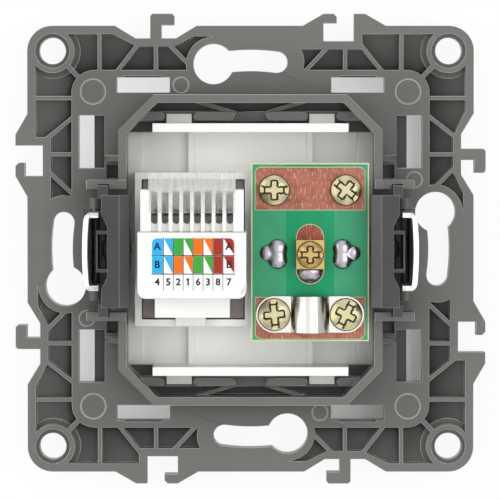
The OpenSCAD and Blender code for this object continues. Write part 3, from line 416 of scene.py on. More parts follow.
def moulding(name, base, drift=0.06, gloss=0.5, grain=0.12, fixed=()):
    return grouped(name, moulded_group(), [
        ("Color", rgba(base)), ("Drift", drift), ("Gloss", gloss), ("Grain", grain)
    ], fixed)


def metal(name, base, stain, stained=0.25, gloss=0.22, streak=0.15, metallic=1.0):
    return grouped(name, plated_group(), [
        ("Color", rgba(base)), ("Stain", rgba(stain)), ("Stained", stained), ("Gloss", gloss),
        ("Streak", streak)
    ], [("Metallic", metallic)])


def darkened_metal(name, base, light, dark, gloss=0.4):
    """A rougher metal between two darker tones of its base colour; it gives the painted shade of the
    drives and the terminal, and the darker forks.
    """
    return metal(
        name, scaled(base, light), scaled(base, dark),
        stained=0.6, gloss=gloss, streak=0.3, metallic=0.6,
    )


@kept("materials", "grey_plastic_finish")
def grey_plastic():
    """Grey moulding with painted shade: darker the deeper its rear faces lie, as on the pockets' floors,
    and on the plate around the collar.
    """
    material = moulding("grey_plastic", palette().grey, drift=0.1, gloss=0.34, grain=0.22, fixed=MATT)
    tree, shader = opened(material)
    base = shader.inputs["Base Color"].links[0].from_socket
    place = add(tree, "ShaderNodeTexCoord").outputs
    floor_shade_tone = 0.24
    collar_shade_amount = 0.24
    axes = axes_of(tree, place["Object"])
    rear = spread(tree, axes_of(tree, place["Normal"])["Y"], 1, 0, -0.9, -0.5)
    # painted shade: rear faces turn darker the deeper they lie behind the wall plane
    floor = spread(tree, axes["Y"], 1, floor_shade_tone, 0.5 * MM, 2.6 * MM)
    out = maths(tree, "MAXIMUM", maths(tree, "ABSOLUTE", axes["X"]), maths(tree, "ABSOLUTE", axes["Z"]))
    # painted shade: the plate turns darker towards the collar, as in the collar's shade
    plate = spread(tree, axes["Y"], 0, 1, -0.6 * MM, -0.2 * MM)
    painted_collar_shade = times(tree, plate, spread(tree, out, collar_shade_amount, 0, 26 * MM, 33 * MM))
    shade = times(tree, floor, minus(tree, 1.0, painted_collar_shade))
    darker = times(tree, rear, minus(tree, shade, 1.0))
    tree.links.new(tone(tree, base, plus(tree, darker, 1.0)), shader.inputs["Base Color"])
    return material


# Painted highlight: a light grey finish on the rounded edges of the support frame, for the light they
# catch.
def worn_edge():
    return moulding("worn_edge", palette().edge, drift=0.2, gloss=0.4, grain=0.1, fixed=MATT)


def black_edge():
    """Painted highlight along the rounded edges of the black mouldings."""
    return moulding(
        "black_edge", scaled(palette().edge, 0.36), drift=0.3, gloss=0.4, grain=0.2, fixed=MATT
    )


def black_bevel():
    """Painted light: a lighter copy of the black moulding on the slope of the nut blocks, along which the
    frame guides them.
    """
    return moulding(
        "black_bevel", scaled(palette().black, 2.0), drift=0.25, gloss=0.36, grain=0.3, fixed=MATT
    )


def white_plastic():
    return moulding("white_plastic", palette().white, drift=0.025, gloss=0.36, grain=0.06, fixed=[
        ("Subsurface Weight", 0.12), ("Subsurface Radius", (1.0, 0.9, 0.8)), ("Subsurface Scale", 0.0006)
    ])


def black_plastic():
    return moulding("black_plastic", palette().black, drift=0.16, gloss=0.4, grain=0.25, fixed=MATT)


def dark_plastic():
    return moulding("dark_plastic", palette().dark, drift=0.1, gloss=0.45, grain=0.15)


@kept("materials", "clear_plastic_finish")
def clear_plastic():
    """Frosted clear moulding: milky over the comb's top, hazy streaks along the wires below."""
    material = moulding("clear_plastic", palette().clear, drift=0.02, gloss=0.22, grain=0.2)
    tree, shader = opened(material)
    streak = noise(tree, stretched(tree, object_place(tree), (2600, 900, 260)), 1, 3)
    cloud = noise(tree, object_place(tree), 900, 3)
    height = axes_of(tree, object_place(tree))["Z"]
    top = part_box("idc_block")[1].z
    milky = spread(tree, height, 0, 0.36, top - 0.5 * MM, top + 0.1 * MM)
    haze = plus(tree, spread(tree, streak, 0.0, 0.26), spread(tree, cloud, -0.08, 0.05))
    tree.links.new(plus(tree, haze, milky), shader.inputs["Alpha"])
    return material


def insulator_white():
    return moulding("insulator_white", palette().insulator, drift=0.03, gloss=0.4, grain=0.05)


@kept("materials", "zinc_steel_finish")
def zinc_steel():
    """Bright zinc with painted shade, in streaks, where the ends of the claws are bent."""
    c = palette()
    material = metal(
        "zinc_steel", c.zinc, scaled(c.zinc, 0.7),
        stained=0.3, gloss=0.24, streak=0.06, metallic=0.5,
    )
    tree, shader = opened(material)
    base = shader.inputs["Base Color"].links[0].from_socket
    place = object_place(tree)
    z = maths(tree, "ABSOLUTE", axes_of(tree, place)["Z"])
    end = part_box("claw_left")[1].z
    bent = spread(tree, z, 0, 1, end - 1.3 * MM, end - 0.5 * MM)
    shade_streaks = spread(tree, noise(tree, stretched(tree, place, (260, 260, 1500)), 1, 3), 0.1, 0.75)
    # painted shade: darker streaks on the bent ends of the claws
    end_shade_tone = minus(tree, 1.0, times(tree, bent, shade_streaks))
    tree.links.new(tone(tree, base, end_shade_tone), shader.inputs["Base Color"])
    return material


def dark_steel():
    """Painted shade: steel darkened for the pins and press rings deep in the frame."""
    c = palette()
    return metal(
        "dark_steel", scaled(c.zinc, 0.12), scaled(c.zinc, 0.05),
        stained=0.5, gloss=0.45, streak=0.1,
    )


def yellow_zinc():
    bluish = (0.33, 0.28, 0.36)
    return metal("yellow_zinc", palette().yellow, bluish, stained=0.35, gloss=0.2, streak=0.1)


def drive_shade():
    """Painted shade in the drive slots and around the heads of the yellow screws."""
    return darkened_metal("drive_shade", palette().yellow, 0.16, 0.06)


def brass_shade():
    """Painted shade in the slots and corners of the brass terminal."""
    return darkened_metal("brass_shade", palette().brass, 0.3, 0.12)


def nickel_plate():
    c = palette()
    return metal("nickel_plate", c.nickel, scaled(c.nickel, 0.6), stained=0.22, gloss=0.14, streak=0.1)


def fork_metal():
    """Dull tin of the wiring forks."""
    return darkened_metal("fork_metal", palette().dark, 0.5, 0.25, gloss=0.35)


def contact_brass():
    c = palette()
    return metal("contact_brass", c.brass, scaled(c.brass, 0.5), stained=0.3, gloss=0.2, streak=0.12)


def solder_metal():
    c = palette()
    return metal("solder", c.solder, scaled(c.solder, 0.5), stained=0.4, gloss=0.16, streak=0.18)


@kept("materials", "copper_foil_finish")
def copper_foil():
    """Brownish copper with stains, pale rubs and scratches, darker on the centre pad."""
    c = palette()
    material, tree, shader = new_material("copper_foil")
    place = object_place(tree)
    stain = spread(tree, noise(tree, place, 520, 6), 0, 0.7, 0.42, 0.7)
    low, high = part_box("tv_board")
    off = from_middle(tree, axes_of(tree, place)["Z"], (low.z + high.z) / 2)
    # the copper turns darker on the centre pad
    pad = spread(tree, off, 0.85, 0, 5.4 * MM, 5.9 * MM)
    base = mix(tree, pad, mix(tree, stain, rgba(c.copper), rgba(c.tarnish)), rgba(c.centre_pad_colour))
    lines = noise(tree, stretched(tree, place, (6500, 900, 900)), 1, 4)
    scratch = spread(tree, lines, 0, 0.5, 0.56, 0.68)
    bright = (0.75, 0.5, 0.4, 1)
    tree.links.new(mix(tree, scratch, base, bright), shader.inputs["Base Color"])
    rough = plus(tree, times(tree, stain, 0.2), 0.42)
    tree.links.new(rough, shader.inputs["Roughness"])
    tree.links.new(bump(tree, scratch, 0.1, 0.01 * MM), shader.inputs["Normal"])
    shader.inputs["Metallic"].default_value = 0.45
    shader.inputs["Specular IOR Level"].default_value = 0.3
    return material


@kept("materials", "board_green_finish")
def board_green():
    """Green lacquer: darker in the bare middle band, milky over the copper left and right of it."""
    c = palette()
    low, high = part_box("tv_board")
    material, tree, shader = new_material("board_green")
    place = object_place(tree)
    axes = axes_of(tree, place)
    off = from_middle(tree, axes["X"], (low.x + high.x) / 2)
    outside = spread(tree, off, 0, 1, 3.72 * MM, 3.84 * MM)
    weave = add(tree, "ShaderNodeGroup", [("Scale", 900)], node_tree=weave_group())
    cloud = noise(tree, place, 300, 4)
    up = from_middle(tree, axes["Z"], (low.z + high.z) / 2)
    inset = bpy.context.scene.socket_sizes.board_edge
    beyond = maths(
        tree, "MAXIMUM", minus(tree, off, (high.x - low.x) / 2 - inset),
        minus(tree, up, (high.z - low.z) / 2 - inset),
    )
    lacquer = mix(tree, outside, rgba(c.mask), rgba(c.mask_copper))
    base = mix(tree, spread(tree, beyond, 0, 1, -0.02 * MM, 0.02 * MM), lacquer, rgba(c.laminate))
    glass = times(tree, weave.outputs["Weave"], 0.12)
    shade = plus(tree, glass, spread(tree, cloud, 0.86, 1.06))
    tree.links.new(tone(tree, base, shade), shader.inputs["Base Color"])
    tree.links.new(spread(tree, cloud, 0.34, 0.5), shader.inputs["Roughness"])
    tree.links.new(weave.outputs["Normal"], shader.inputs["Normal"])
    shader.inputs["Specular IOR Level"].default_value = 0.2
    return material


@kept("materials", "laminate_finish")
def laminate():
    """Bare resin and glass at the edges of a board and around its lands."""
    material, tree, shader = new_material("laminate")
    weave = add(tree, "ShaderNodeGroup", [("Scale", 2400)], node_tree=weave_group())
    shade = spread(tree, weave.outputs["Weave"], 0.82, 1.05, 0, 1)
    tree.links.new(tone(tree, rgba(palette().laminate), shade), shader.inputs["Base Color"])
    tree.links.new(weave.outputs["Normal"], shader.inputs["Normal"])
    shader.inputs["Roughness"].default_value = 0.55
    return material


def print_ink(name, base):
    """Screen printed ink with a slight grain."""
    return moulding(name, base, drift=0.09, gloss=0.5, grain=0.1, fixed=(("Specular IOR Level", 0.12),))


FINISHES = {
    "grey_plastic": grey_plastic, "white_plastic": white_plastic, "black_plastic": black_plastic,
    "dark_plastic": dark_plastic, "clear_plastic": clear_plastic, "insulator_white": insulator_white,
    "zinc_steel": zinc_steel, "yellow_zinc": yellow_zinc, "nickel_plate": nickel_plate,
    "contact_brass": contact_brass, "copper_foil": copper_foil, "solder": solder_metal,
    "board_green": board_green,
}


# Pieces


def active():
    return bpy.context.view_layer.objects.active


def activate(piece):
    """Selects one piece alone."""
    bpy.ops.object.select_all(action="DESELECT")
    piece.select_set(True)
    bpy.context.view_layer.objects.active = piece


def edit(piece, select="SELECT"):
    """Opens a piece in edit mode with all of it selected, or none."""
    activate(piece)
    bpy.ops.object.mode_set(mode="EDIT")
    bpy.ops.mesh.select_all(action=select)


def leave_edit():
    bpy.ops.object.mode_set(mode="OBJECT")


def pick(piece, kind, wanted):
    """Opens a piece in edit mode with only the wanted points or faces selected."""
    edit(piece, "DESELECT")
    bpy.ops.mesh.select_mode(type=kind)
    leave_edit()
    for part in piece.data.vertices if kind == "VERT" else piece.data.polygons:
        part.select = wanted(part)
    bpy.ops.object.mode_set(mode="EDIT")


def apply_modifier(piece, kind, **settings):
    modifier = piece.modifiers.new(kind.lower(), kind)
    for key, value in settings.items():
        setattr(modifier, key, value)
    activate(piece)
    bpy.ops.object.modifier_apply(modifier=modifier.name)


def smooth(piece):
    """Shades a piece smooth between its sharper edges."""
    activate(piece)
    bpy.ops.object.shade_smooth_by_angle(angle=SMOOTH_ANGLE)


def settle(piece):
    """Puts a piece's place, turn and size into its mesh."""
    activate(piece)
    bpy.ops.object.transform_apply(location=True, rotation=True, scale=True)


def joined(pieces, name):
    """Joins pieces into the first of them."""
    bpy.ops.object.select_all(action="DESELECT")
    for piece in pieces:
        piece.select_set(True)
    bpy.context.view_layer.objects.active = pieces[0]
    if len(pieces) > 1:
        bpy.ops.object.join()
    pieces[0].name = name
    return pieces[0]


def plain_copy(node, name):
    """A copy of a CAD node with a mesh of its own and its doubled points merged."""
    activate(frame["nodes"][node])
    bpy.ops.object.duplicate()
    piece = active()
    if piece is frame["nodes"][node]:
        raise RuntimeError("no copy of " + node)
    bpy.ops.object.parent_clear(type="CLEAR_KEEP_TRANSFORM")
    del piece["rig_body"], piece["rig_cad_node"]
    piece.name = name
    piece.data.materials.clear()
    bpy.ops.mesh.customdata_custom_splitnormals_clear()
    edit(piece)
    bpy.ops.mesh.remove_doubles(threshold=MERGE_DISTANCE)
    leave_edit()
    return piece


def round_edges(piece, width, angle=40.0, slot=-1):
    """Shades a piece's faces and rounds its edges; a slot gives the rounds their own finish."""
    smooth(piece)
    apply_modifier(
        piece, "BEVEL", width=width, segments=2, limit_method="ANGLE", angle_limit=math.radians(angle),
        use_clamp_overlap=False, miter_outer="MITER_ARC", material=slot,
    )
    pick(piece, "FACE", lambda face: abs(face.normal.y) > FLAT)
    bpy.ops.mesh.faces_shade_flat()
    leave_edit()
    apply_modifier(piece, "WEIGHTED_NORMAL", keep_sharp=True)


def seat(piece, node, material=None, replace=True):
    """Lets a piece ride where its CAD node rides, with a finish if one is given, and hides the node if
    the piece replaces it.
    """
    if material:
        piece.data.materials.append(material)
    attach(piece, BODY_OF[node])
    if replace:
        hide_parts(node)
    return piece


def dress(node, width, angle=40.0, rim=None, finish=None):
    """A rounded copy of a CAD node in its slot's finish or another, with a rim finish on its edges."""
    piece = plain_copy(node, node + "_dressed")
    piece.data.materials.append(finish or FINISHES[SLOT_OF[node]]())
    if rim:
        piece.data.materials.append(rim)
    round_edges(piece, width, angle, 1 if rim else -1)
    return seat(piece, node)


class SOCKET_OT_support_frame(bpy.types.Operator):
    """Leans the pocket floors of the support frame inwards and rounds its edges"""

    bl_idname = "socket.support_frame"
    bl_label = "Support frame"

    def execute(self, context):
        sizes = context.scene.socket_sizes
        piece = plain_copy("support_frame", "support_frame_dressed")
        for row in ("left", "right", "top", "bottom"):
            self.lean(piece, sizes, row)
        piece.data.materials.append(grey_plastic())
        # the rounded edges get the painted highlight
        piece.data.materials.append(worn_edge())
        round_edges(piece, sizes.fine_edge, slot=1)
        seat(piece, "support_frame")
        return {"FINISHED"}

    def lean(self, piece, sizes, row):
        """Turns the pocket floors of one side of the border about their inner edge."""
        upright = row in ("left", "right")
        sign = 1 if row in ("right", "top") else -1

        def on_floor(point):
            along, across = (point.co.x, point.co.z) if upright else (point.co.z, point.co.x)
            outer = sign * along > max(sizes.floor_start, abs(across))
            return outer and abs(point.co.y - sizes.floor_depth) < PLACE_TOLERANCE

        pick(piece, "VERT", on_floor)
        start = sign * sizes.floor_start
        centre = (start if upright else 0, sizes.floor_depth, 0 if upright else start)
        bpy.ops.transform.rotate(
            value=sizes.floor_lean * sign * (1 if upright else -1), orient_axis="Z" if upright else "X",
            center_override=centre,
        )
        leave_edit()


class SOCKET_OT_insert(bpy.types.Operator):
    """Rounds the edges of the insert"""

    bl_idname = "socket.insert"
    bl_label = "Insert"

    def execute(self, context):
        dress("insert_plate", context.scene.socket_sizes.fine_edge)
        return {"FINISHED"}


class SOCKET_OT_claws(bpy.types.Operator):
    """Dresses the claws, their pins, press rings and nut blocks"""

    bl_idname = "socket.claws"
    bl_label = "Spreader claws"

    SLOPE = 0.3

    def execute(self, context):
        sizes = context.scene.socket_sizes
        for side in SIDES:
            dress("claw_" + side, sizes.fine_edge, angle=50)
            dress("claw_pin_" + side, sizes.fine_edge, finish=dark_steel())
            dress("screw_retainer_" + side, sizes.fine_edge, finish=dark_steel())
            block = dress("claw_block_" + side, sizes.edge, angle=30, rim=black_edge())
            block.data.materials.append(black_bevel())
            # painted light: faces that slope sideways towards the rear get the lighter copy of the black
            # finish
            for polygon in block.data.polygons:
                sloped = polygon.normal.y < -self.SLOPE and abs(polygon.normal.x) > self.SLOPE
                if sloped and polygon.material_index == 0:
                    polygon.material_index = 2
        return {"FINISHED"}


class SOCKET_OT_claw_screws(bpy.types.Operator):
    """Gives each claw screw a threaded shank"""

    bl_idname = "socket.claw_screws"
    bl_label = "Claw screws"

    SHANK = 1.5 * MM
    RELIEF = 0.1 * MM
    TIP = 0.25 * MM
    ROOT = 0.03 * MM
    STEPS = 24

    def execute(self, context):
        for side in SIDES:
            self.build(context.scene.socket_sizes, side)
        return {"FINISHED"}

    def build(self, sizes, side):
        """The screw's head with a rod and a ridge that winds along it in place of the plain shank."""
        node = "claw_screw_" + side
        low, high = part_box(node)
        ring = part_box("screw_retainer_" + side)
        x, z = (low.x + high.x) / 2, (low.z + high.z) / 2
        start = ring[0].y - self.RELIEF
        end = low.y + self.TIP
        head = plain_copy(node, node + "_dressed")
        edit(head)
        bpy.ops.mesh.bisect(
            plane_co=(x, start, z), plane_no=(0, 1, 0), threshold=CUT_TOLERANCE, use_fill=True,
            clear_inner=True,
        )
        leave_edit()
        round_edges(head, sizes.fine_edge)
        bpy.ops.mesh.primitive_cylinder_add(
            vertices=32, radius=self.SHANK - sizes.thread + self.ROOT, depth=start - low.y,
            location=(x, (start + low.y) / 2, z), rotation=UPRIGHT,
        )
        rod = active()
        settle(rod)
        bpy.ops.mesh.primitive_circle_add(
            vertices=4, radius=1, fill_type="NOTHING", rotation=UPRIGHT
        )
        ridge = active()
        ridge.scale = (sizes.thread / 2, sizes.pitch / 2, 1)
        settle(ridge)
        edit(ridge)
        bpy.ops.transform.translate(value=(self.SHANK - sizes.thread / 2, 0, 0))
        leave_edit()
        turns = max(1, int((start - end) / sizes.pitch) - 1)
        apply_modifier(
            ridge, "SCREW", axis="Z", angle=math.tau, screw_offset=sizes.pitch, iterations=turns,
            steps=self.STEPS, render_steps=self.STEPS, use_normal_calculate=True,
        )
        ridge.rotation_euler = UPRIGHT
        ridge.location = (x, start - sizes.pitch / 2, z)
        settle(ridge)
        edit(ridge, "DESELECT")
        bpy.ops.mesh.select_mode(type="EDGE")
        bpy.ops.mesh.select_non_manifold()
        bpy.ops.mesh.fill()
        leave_edit()
        for part in (rod, ridge):
            smooth(part)
        seat(joined([head, rod, ridge], head.name), node, yellow_zinc())


class SOCKET_OT_jack_housing(bpy.types.Operator):
    """Dresses the data jack's nose, latch body, board and port contacts"""

    bl_idname = "socket.jack_housing"
    bl_label = "Data jack housing"

    def execute(self, context):
        sizes = context.scene.socket_sizes
        for node in ("jack_nose", "jack_latch"):
            dress(node, sizes.edge)
        for node in ("jack_board", "port_contacts"):
            dress(node, sizes.fine_edge)
        return {"FINISHED"}


class SOCKET_OT_wiring_block(bpy.types.Operator):
    """Dresses the wiring comb, its forks, its clear cap and the label cover"""

    bl_idname = "socket.wiring_block"
    bl_label = "Wiring block"

    def execute(self, context):
        sizes = context.scene.socket_sizes
        dress("idc_block", sizes.fine_edge, angle=50)
        dress("idc_contacts", sizes.fine_edge, finish=fork_metal())
        dress("idc_cap", sizes.edge, angle=50)
        self.cover(sizes)
        return {"FINISHED"}

    def cover(self, sizes):
        """The label cover with a soft edge around its rear face."""
        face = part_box("label_cover")[0].y
        piece = plain_copy("label_cover", "label_cover_dressed")
        pick(piece, "FACE", lambda part: abs(part.center.y - face) < PLACE_TOLERANCE)
        bpy.ops.mesh.region_to_loop()
        bpy.ops.mesh.bevel(offset=sizes.cover_edge, segments=4)
        leave_edit()
        smooth(piece)
        apply_modifier(piece, "WEIGHTED_NORMAL", keep_sharp=True)
        seat(piece, "label_cover", white_plastic())


class SOCKET_OT_label(bpy.types.Operator):
    """Prints the wiring label: colour code, letters and terminal numbers"""

    bl_idname = "socket.label"
    bl_label = "Wiring label"

    NUMBERS = "45216387"
    ROW_A = ("blue", "blue", "green", "green", "orange", "orange", "brown", "brown")
    ROW_B = ("blue", "blue", "orange", "orange", "green", "green", "brown", "brown")
    CELL_LINE = 0.7
    NUMBER_LINE = 0.45
    DARK_INK = 1.6
    LIFT = 0.01 * MM
    PAPER_EDGE = 0.03 * MM
    BOLD = 0.03
    FLAG_PLACE = (-0.13, 0.38)
    FLAG_SIZE = (0.36, 0.14)
    FLAG_TURN = math.radians(-38)

    def execute(self, context):
        sizes = context.scene.socket_sizes
        colours = context.scene.socket_colours
        low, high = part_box("wiring_label")
        self.face = low.y
        paper = plain_copy("wiring_label", "label_paper")
        round_edges(paper, self.PAPER_EDGE)
        finish = moulding("label_paper", colours.paper, drift=0.03, gloss=0.4, grain=0.08)
        seat(paper, "wiring_label", finish)
        last = len(self.NUMBERS) - 1
        inner = (high.x - low.x - 2 * sizes.outer_column) / (last - 1)
        across = [low.x, low.x + sizes.outer_column]
        for _ in range(last - 1):
            across.append(across[-1] + inner)
        across.append(high.x)
        down = [high.z, high.z - sizes.row_a, high.z - sizes.row_a - sizes.row_b, low.z]
        half = sizes.line / 2
        inks = {"blue": [], "green": [], "orange": [], "brown": [], "dark": []}
        dark = inks["dark"]
        for row, names in enumerate((self.ROW_A, self.ROW_B)):
            for column, ink in enumerate(names):
                cell = (
                    across[column] + half, across[column + 1] - half,
                    down[row + 1] + half, down[row] - half,
                )
                piece = self.cell(cell, column % 2 == 1)
                if row == 0 and column in (0, last):
                    self.round_corner(piece, cell[1] if column else cell[0], cell[3], sizes.label_corner)
                inks[ink].append(piece)
        wide = half * self.CELL_LINE
        thin = half * self.NUMBER_LINE
        for edge in across[1:-1]:
            dark.append(self.cell((edge - wide, edge + wide, down[2], down[0]), False))
            dark.append(self.cell((edge - thin, edge + thin, down[3], down[2]), False))
        for edge in down[1:3]:
            dark.append(self.cell((low.x, high.x, edge - wide, edge + wide), False))
        for row, letter in enumerate("AB"):
            for column in (0, last):
                dark.append(self.letter(letter, across, down, column, row, sizes.letter))
        for column, digit in enumerate(self.NUMBERS):
            dark.append(self.letter(digit, across, down, column, 2, sizes.letter))
            if digit == "1":
                dark.append(self.flag(across, down, column, sizes.letter))
        for ink, cells in inks.items():
            piece = joined(cells, "label_ink_" + ink)
            height = sizes.ink * (self.DARK_INK if ink == "dark" else 1)
            apply_modifier(piece, "SOLIDIFY", thickness=height, offset=1)
            seat(piece, "wiring_label", print_ink("ink_" + ink, getattr(colours, "ink_" + ink)), False)
        return {"FINISHED"}

    def cell(self, edges, split):
        """A flat cell on the paper, cut along its falling diagonal if it is a split one."""
        x0, x1, z0, z1 = edges
        middle = ((x0 + x1) / 2, self.face, (z0 + z1) / 2)
        bpy.ops.mesh.primitive_plane_add(size=1, location=middle, rotation=UPRIGHT)
        piece = active()
        piece.scale = (x1 - x0, z1 - z0, 1)
        settle(piece)
        if split:
            edit(piece)
            across = Vector((z1 - z0, 0, x1 - x0)).normalized()
            bpy.ops.mesh.bisect(
                plane_co=middle, plane_no=across, threshold=CUT_TOLERANCE, clear_inner=True
            )
            leave_edit()
        return piece

    def round_corner(self, piece, x, z, radius):
        """Rounds the one corner of a cell that lies at x and z."""
        pick(piece, "VERT", lambda point: math.hypot(point.co.x - x, point.co.z - z) < PLACE_TOLERANCE)
        bpy.ops.mesh.bevel(offset=radius, segments=6, affect="VERTICES")
        leave_edit()

    def letter(self, sign, across, down, column, row, height):
        """A sign in the middle of a cell, as a flat mesh."""
        x = (across[column] + across[column + 1]) / 2
        z = (down[row] + down[row + 1]) / 2
        bpy.ops.object.text_add(location=(0, 0, 0))
        piece = active()
        piece.data.body = sign
        piece.data.align_x = "CENTER"
        piece.data.align_y = "CENTER"
        piece.data.offset = self.BOLD
        piece.data.resolution_u = 4
        bpy.ops.object.convert(target="MESH")
        piece = active()
        size = height / piece.dimensions.y
        piece.scale = (size, size, size)
        piece.rotation_euler = UPRIGHT
        piece.location = (x, self.face - self.LIFT, z)
        settle(piece)
        return piece

    def flag(self, across, down, column, height):
        """The slanted stroke that the font's plain 1 lacks."""
        x = (across[column] + across[column + 1]) / 2
        z = (down[2] + down[3]) / 2
        aside, up = self.FLAG_PLACE
        bpy.ops.mesh.primitive_plane_add(
            size=1, location=(x + aside * height, self.face - self.LIFT, z + up * height),
            rotation=(math.radians(90), self.FLAG_TURN, 0),
        )
        piece = active()
        piece.scale = (self.FLAG_SIZE[0] * height, self.FLAG_SIZE[1] * height, 1)
        settle(piece)
        return piece


class SOCKET_OT_tv_board(bpy.types.Operator):
    """Dresses the TV board, its copper lands and the bare laminate around them"""

    bl_idname = "socket.tv_board"
    bl_label = "TV board"

    BORDER_HEIGHT = 0.04 * MM
    LAND_EDGE = 0.02 * MM

    def execute(self, context):
        sizes = context.scene.socket_sizes
        board = plain_copy("tv_board", "tv_board_dressed")
        bpy.ops.object.shade_flat()
        seat(board, "tv_board", board_green())
        border = plain_copy("copper_lands", "land_border")
        edit(border)
        bpy.ops.transform.shrink_fatten(value=sizes.border, use_even_offset=True)
        leave_edit()
        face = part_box("tv_board")[0].y
        depths = [point.co.y for point in border.data.vertices]
        flatter = self.BORDER_HEIGHT / (max(depths) - min(depths))
        edit(border)
        bpy.ops.transform.resize(value=(1, flatter, 1), center_override=(0, face, 0))
        leave_edit()
        seat(border, "copper_lands", laminate(), False)
        lands = plain_copy("copper_lands", "copper_lands_dressed")
        round_edges(lands, self.LAND_EDGE)
        seat(lands, "copper_lands", copper_foil())
        return {"FINISHED"}


class SOCKET_OT_solder(bpy.types.Operator):
    """Melts the solder drops into soft joints"""

    bl_idname = "socket.solder"
    bl_label = "Solder joints"

    PAD_HALF = 2.2 * MM
    PAD_ROUNDS = 14
    JOINT_ROUNDS = 130
    JOINT_HEIGHT = 0.6

    def execute(self, context):
        sizes = context.scene.socket_sizes
        low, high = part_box("tv_board")
        middle = (low.x + high.x) / 2
        piece = plain_copy("solder_joints", "solder_joints_dressed")
        pick(piece, "VERT", lambda point: abs(point.co.x - middle) > self.PAD_HALF)
        bpy.ops.mesh.separate(type="SELECTED")
        leave_edit()
        joints = [made for made in context.selected_objects if made is not piece][0]
        self.melt(piece, sizes.voxel, sizes.voxel, self.PAD_ROUNDS)
        self.melt(joints, sizes.voxel, sizes.wetting, self.JOINT_ROUNDS)
        edit(joints)
        bpy.ops.transform.resize(value=(1, self.JOINT_HEIGHT, 1), center_override=(0, low.y, 0))
        leave_edit()
        seat(joined([piece, joints], piece.name), "solder_joints", solder_metal())
        return {"FINISHED"}

    def melt(self, piece, grain, grow, rounds):
        """Swells drops until they touch and smooths them into one skin."""
        edit(piece)
        bpy.ops.transform.shrink_fatten(value=grow)
        leave_edit()
        apply_modifier(piece, "REMESH", mode="VOXEL", voxel_size=grain)
        apply_modifier(piece, "SMOOTH", factor=0.5, iterations=rounds)
        activate(piece)
        bpy.ops.object.shade_smooth()


class SOCKET_OT_board_fixings(bpy.types.Operator):
    """Dresses the board screws, clamp screws, cable saddle and terminal"""

    bl_idname = "socket.board_fixings"
    bl_label = "Saddle, terminal and screws"

    def execute(self, context):
        sizes = context.scene.socket_sizes
        for node in ("board_screws", "clamp_screws"):
            # the rounded edges of heads and drive slots get painted shade
            dress(node, sizes.drive_edge, rim=drive_shade())
        dress("terminal_screw", sizes.drive_edge, rim=brass_shade())
        for node in ("cable_saddle", "terminal_clamp"):
            dress(node, sizes.fine_edge)
        return {"FINISHED"}


class SOCKET_OT_tv_port(bpy.types.Operator):
    """Dresses the barrel, insulator and pin of the TV port"""

    bl_idname = "socket.tv_port"
    bl_label = "TV port"

    def execute(self, context):
        sizes = context.scene.socket_sizes
        for node in ("coax_barrel", "coax_insulator", "coax_pin"):
            dress(node, sizes.fine_edge)
        return {"FINISHED"}


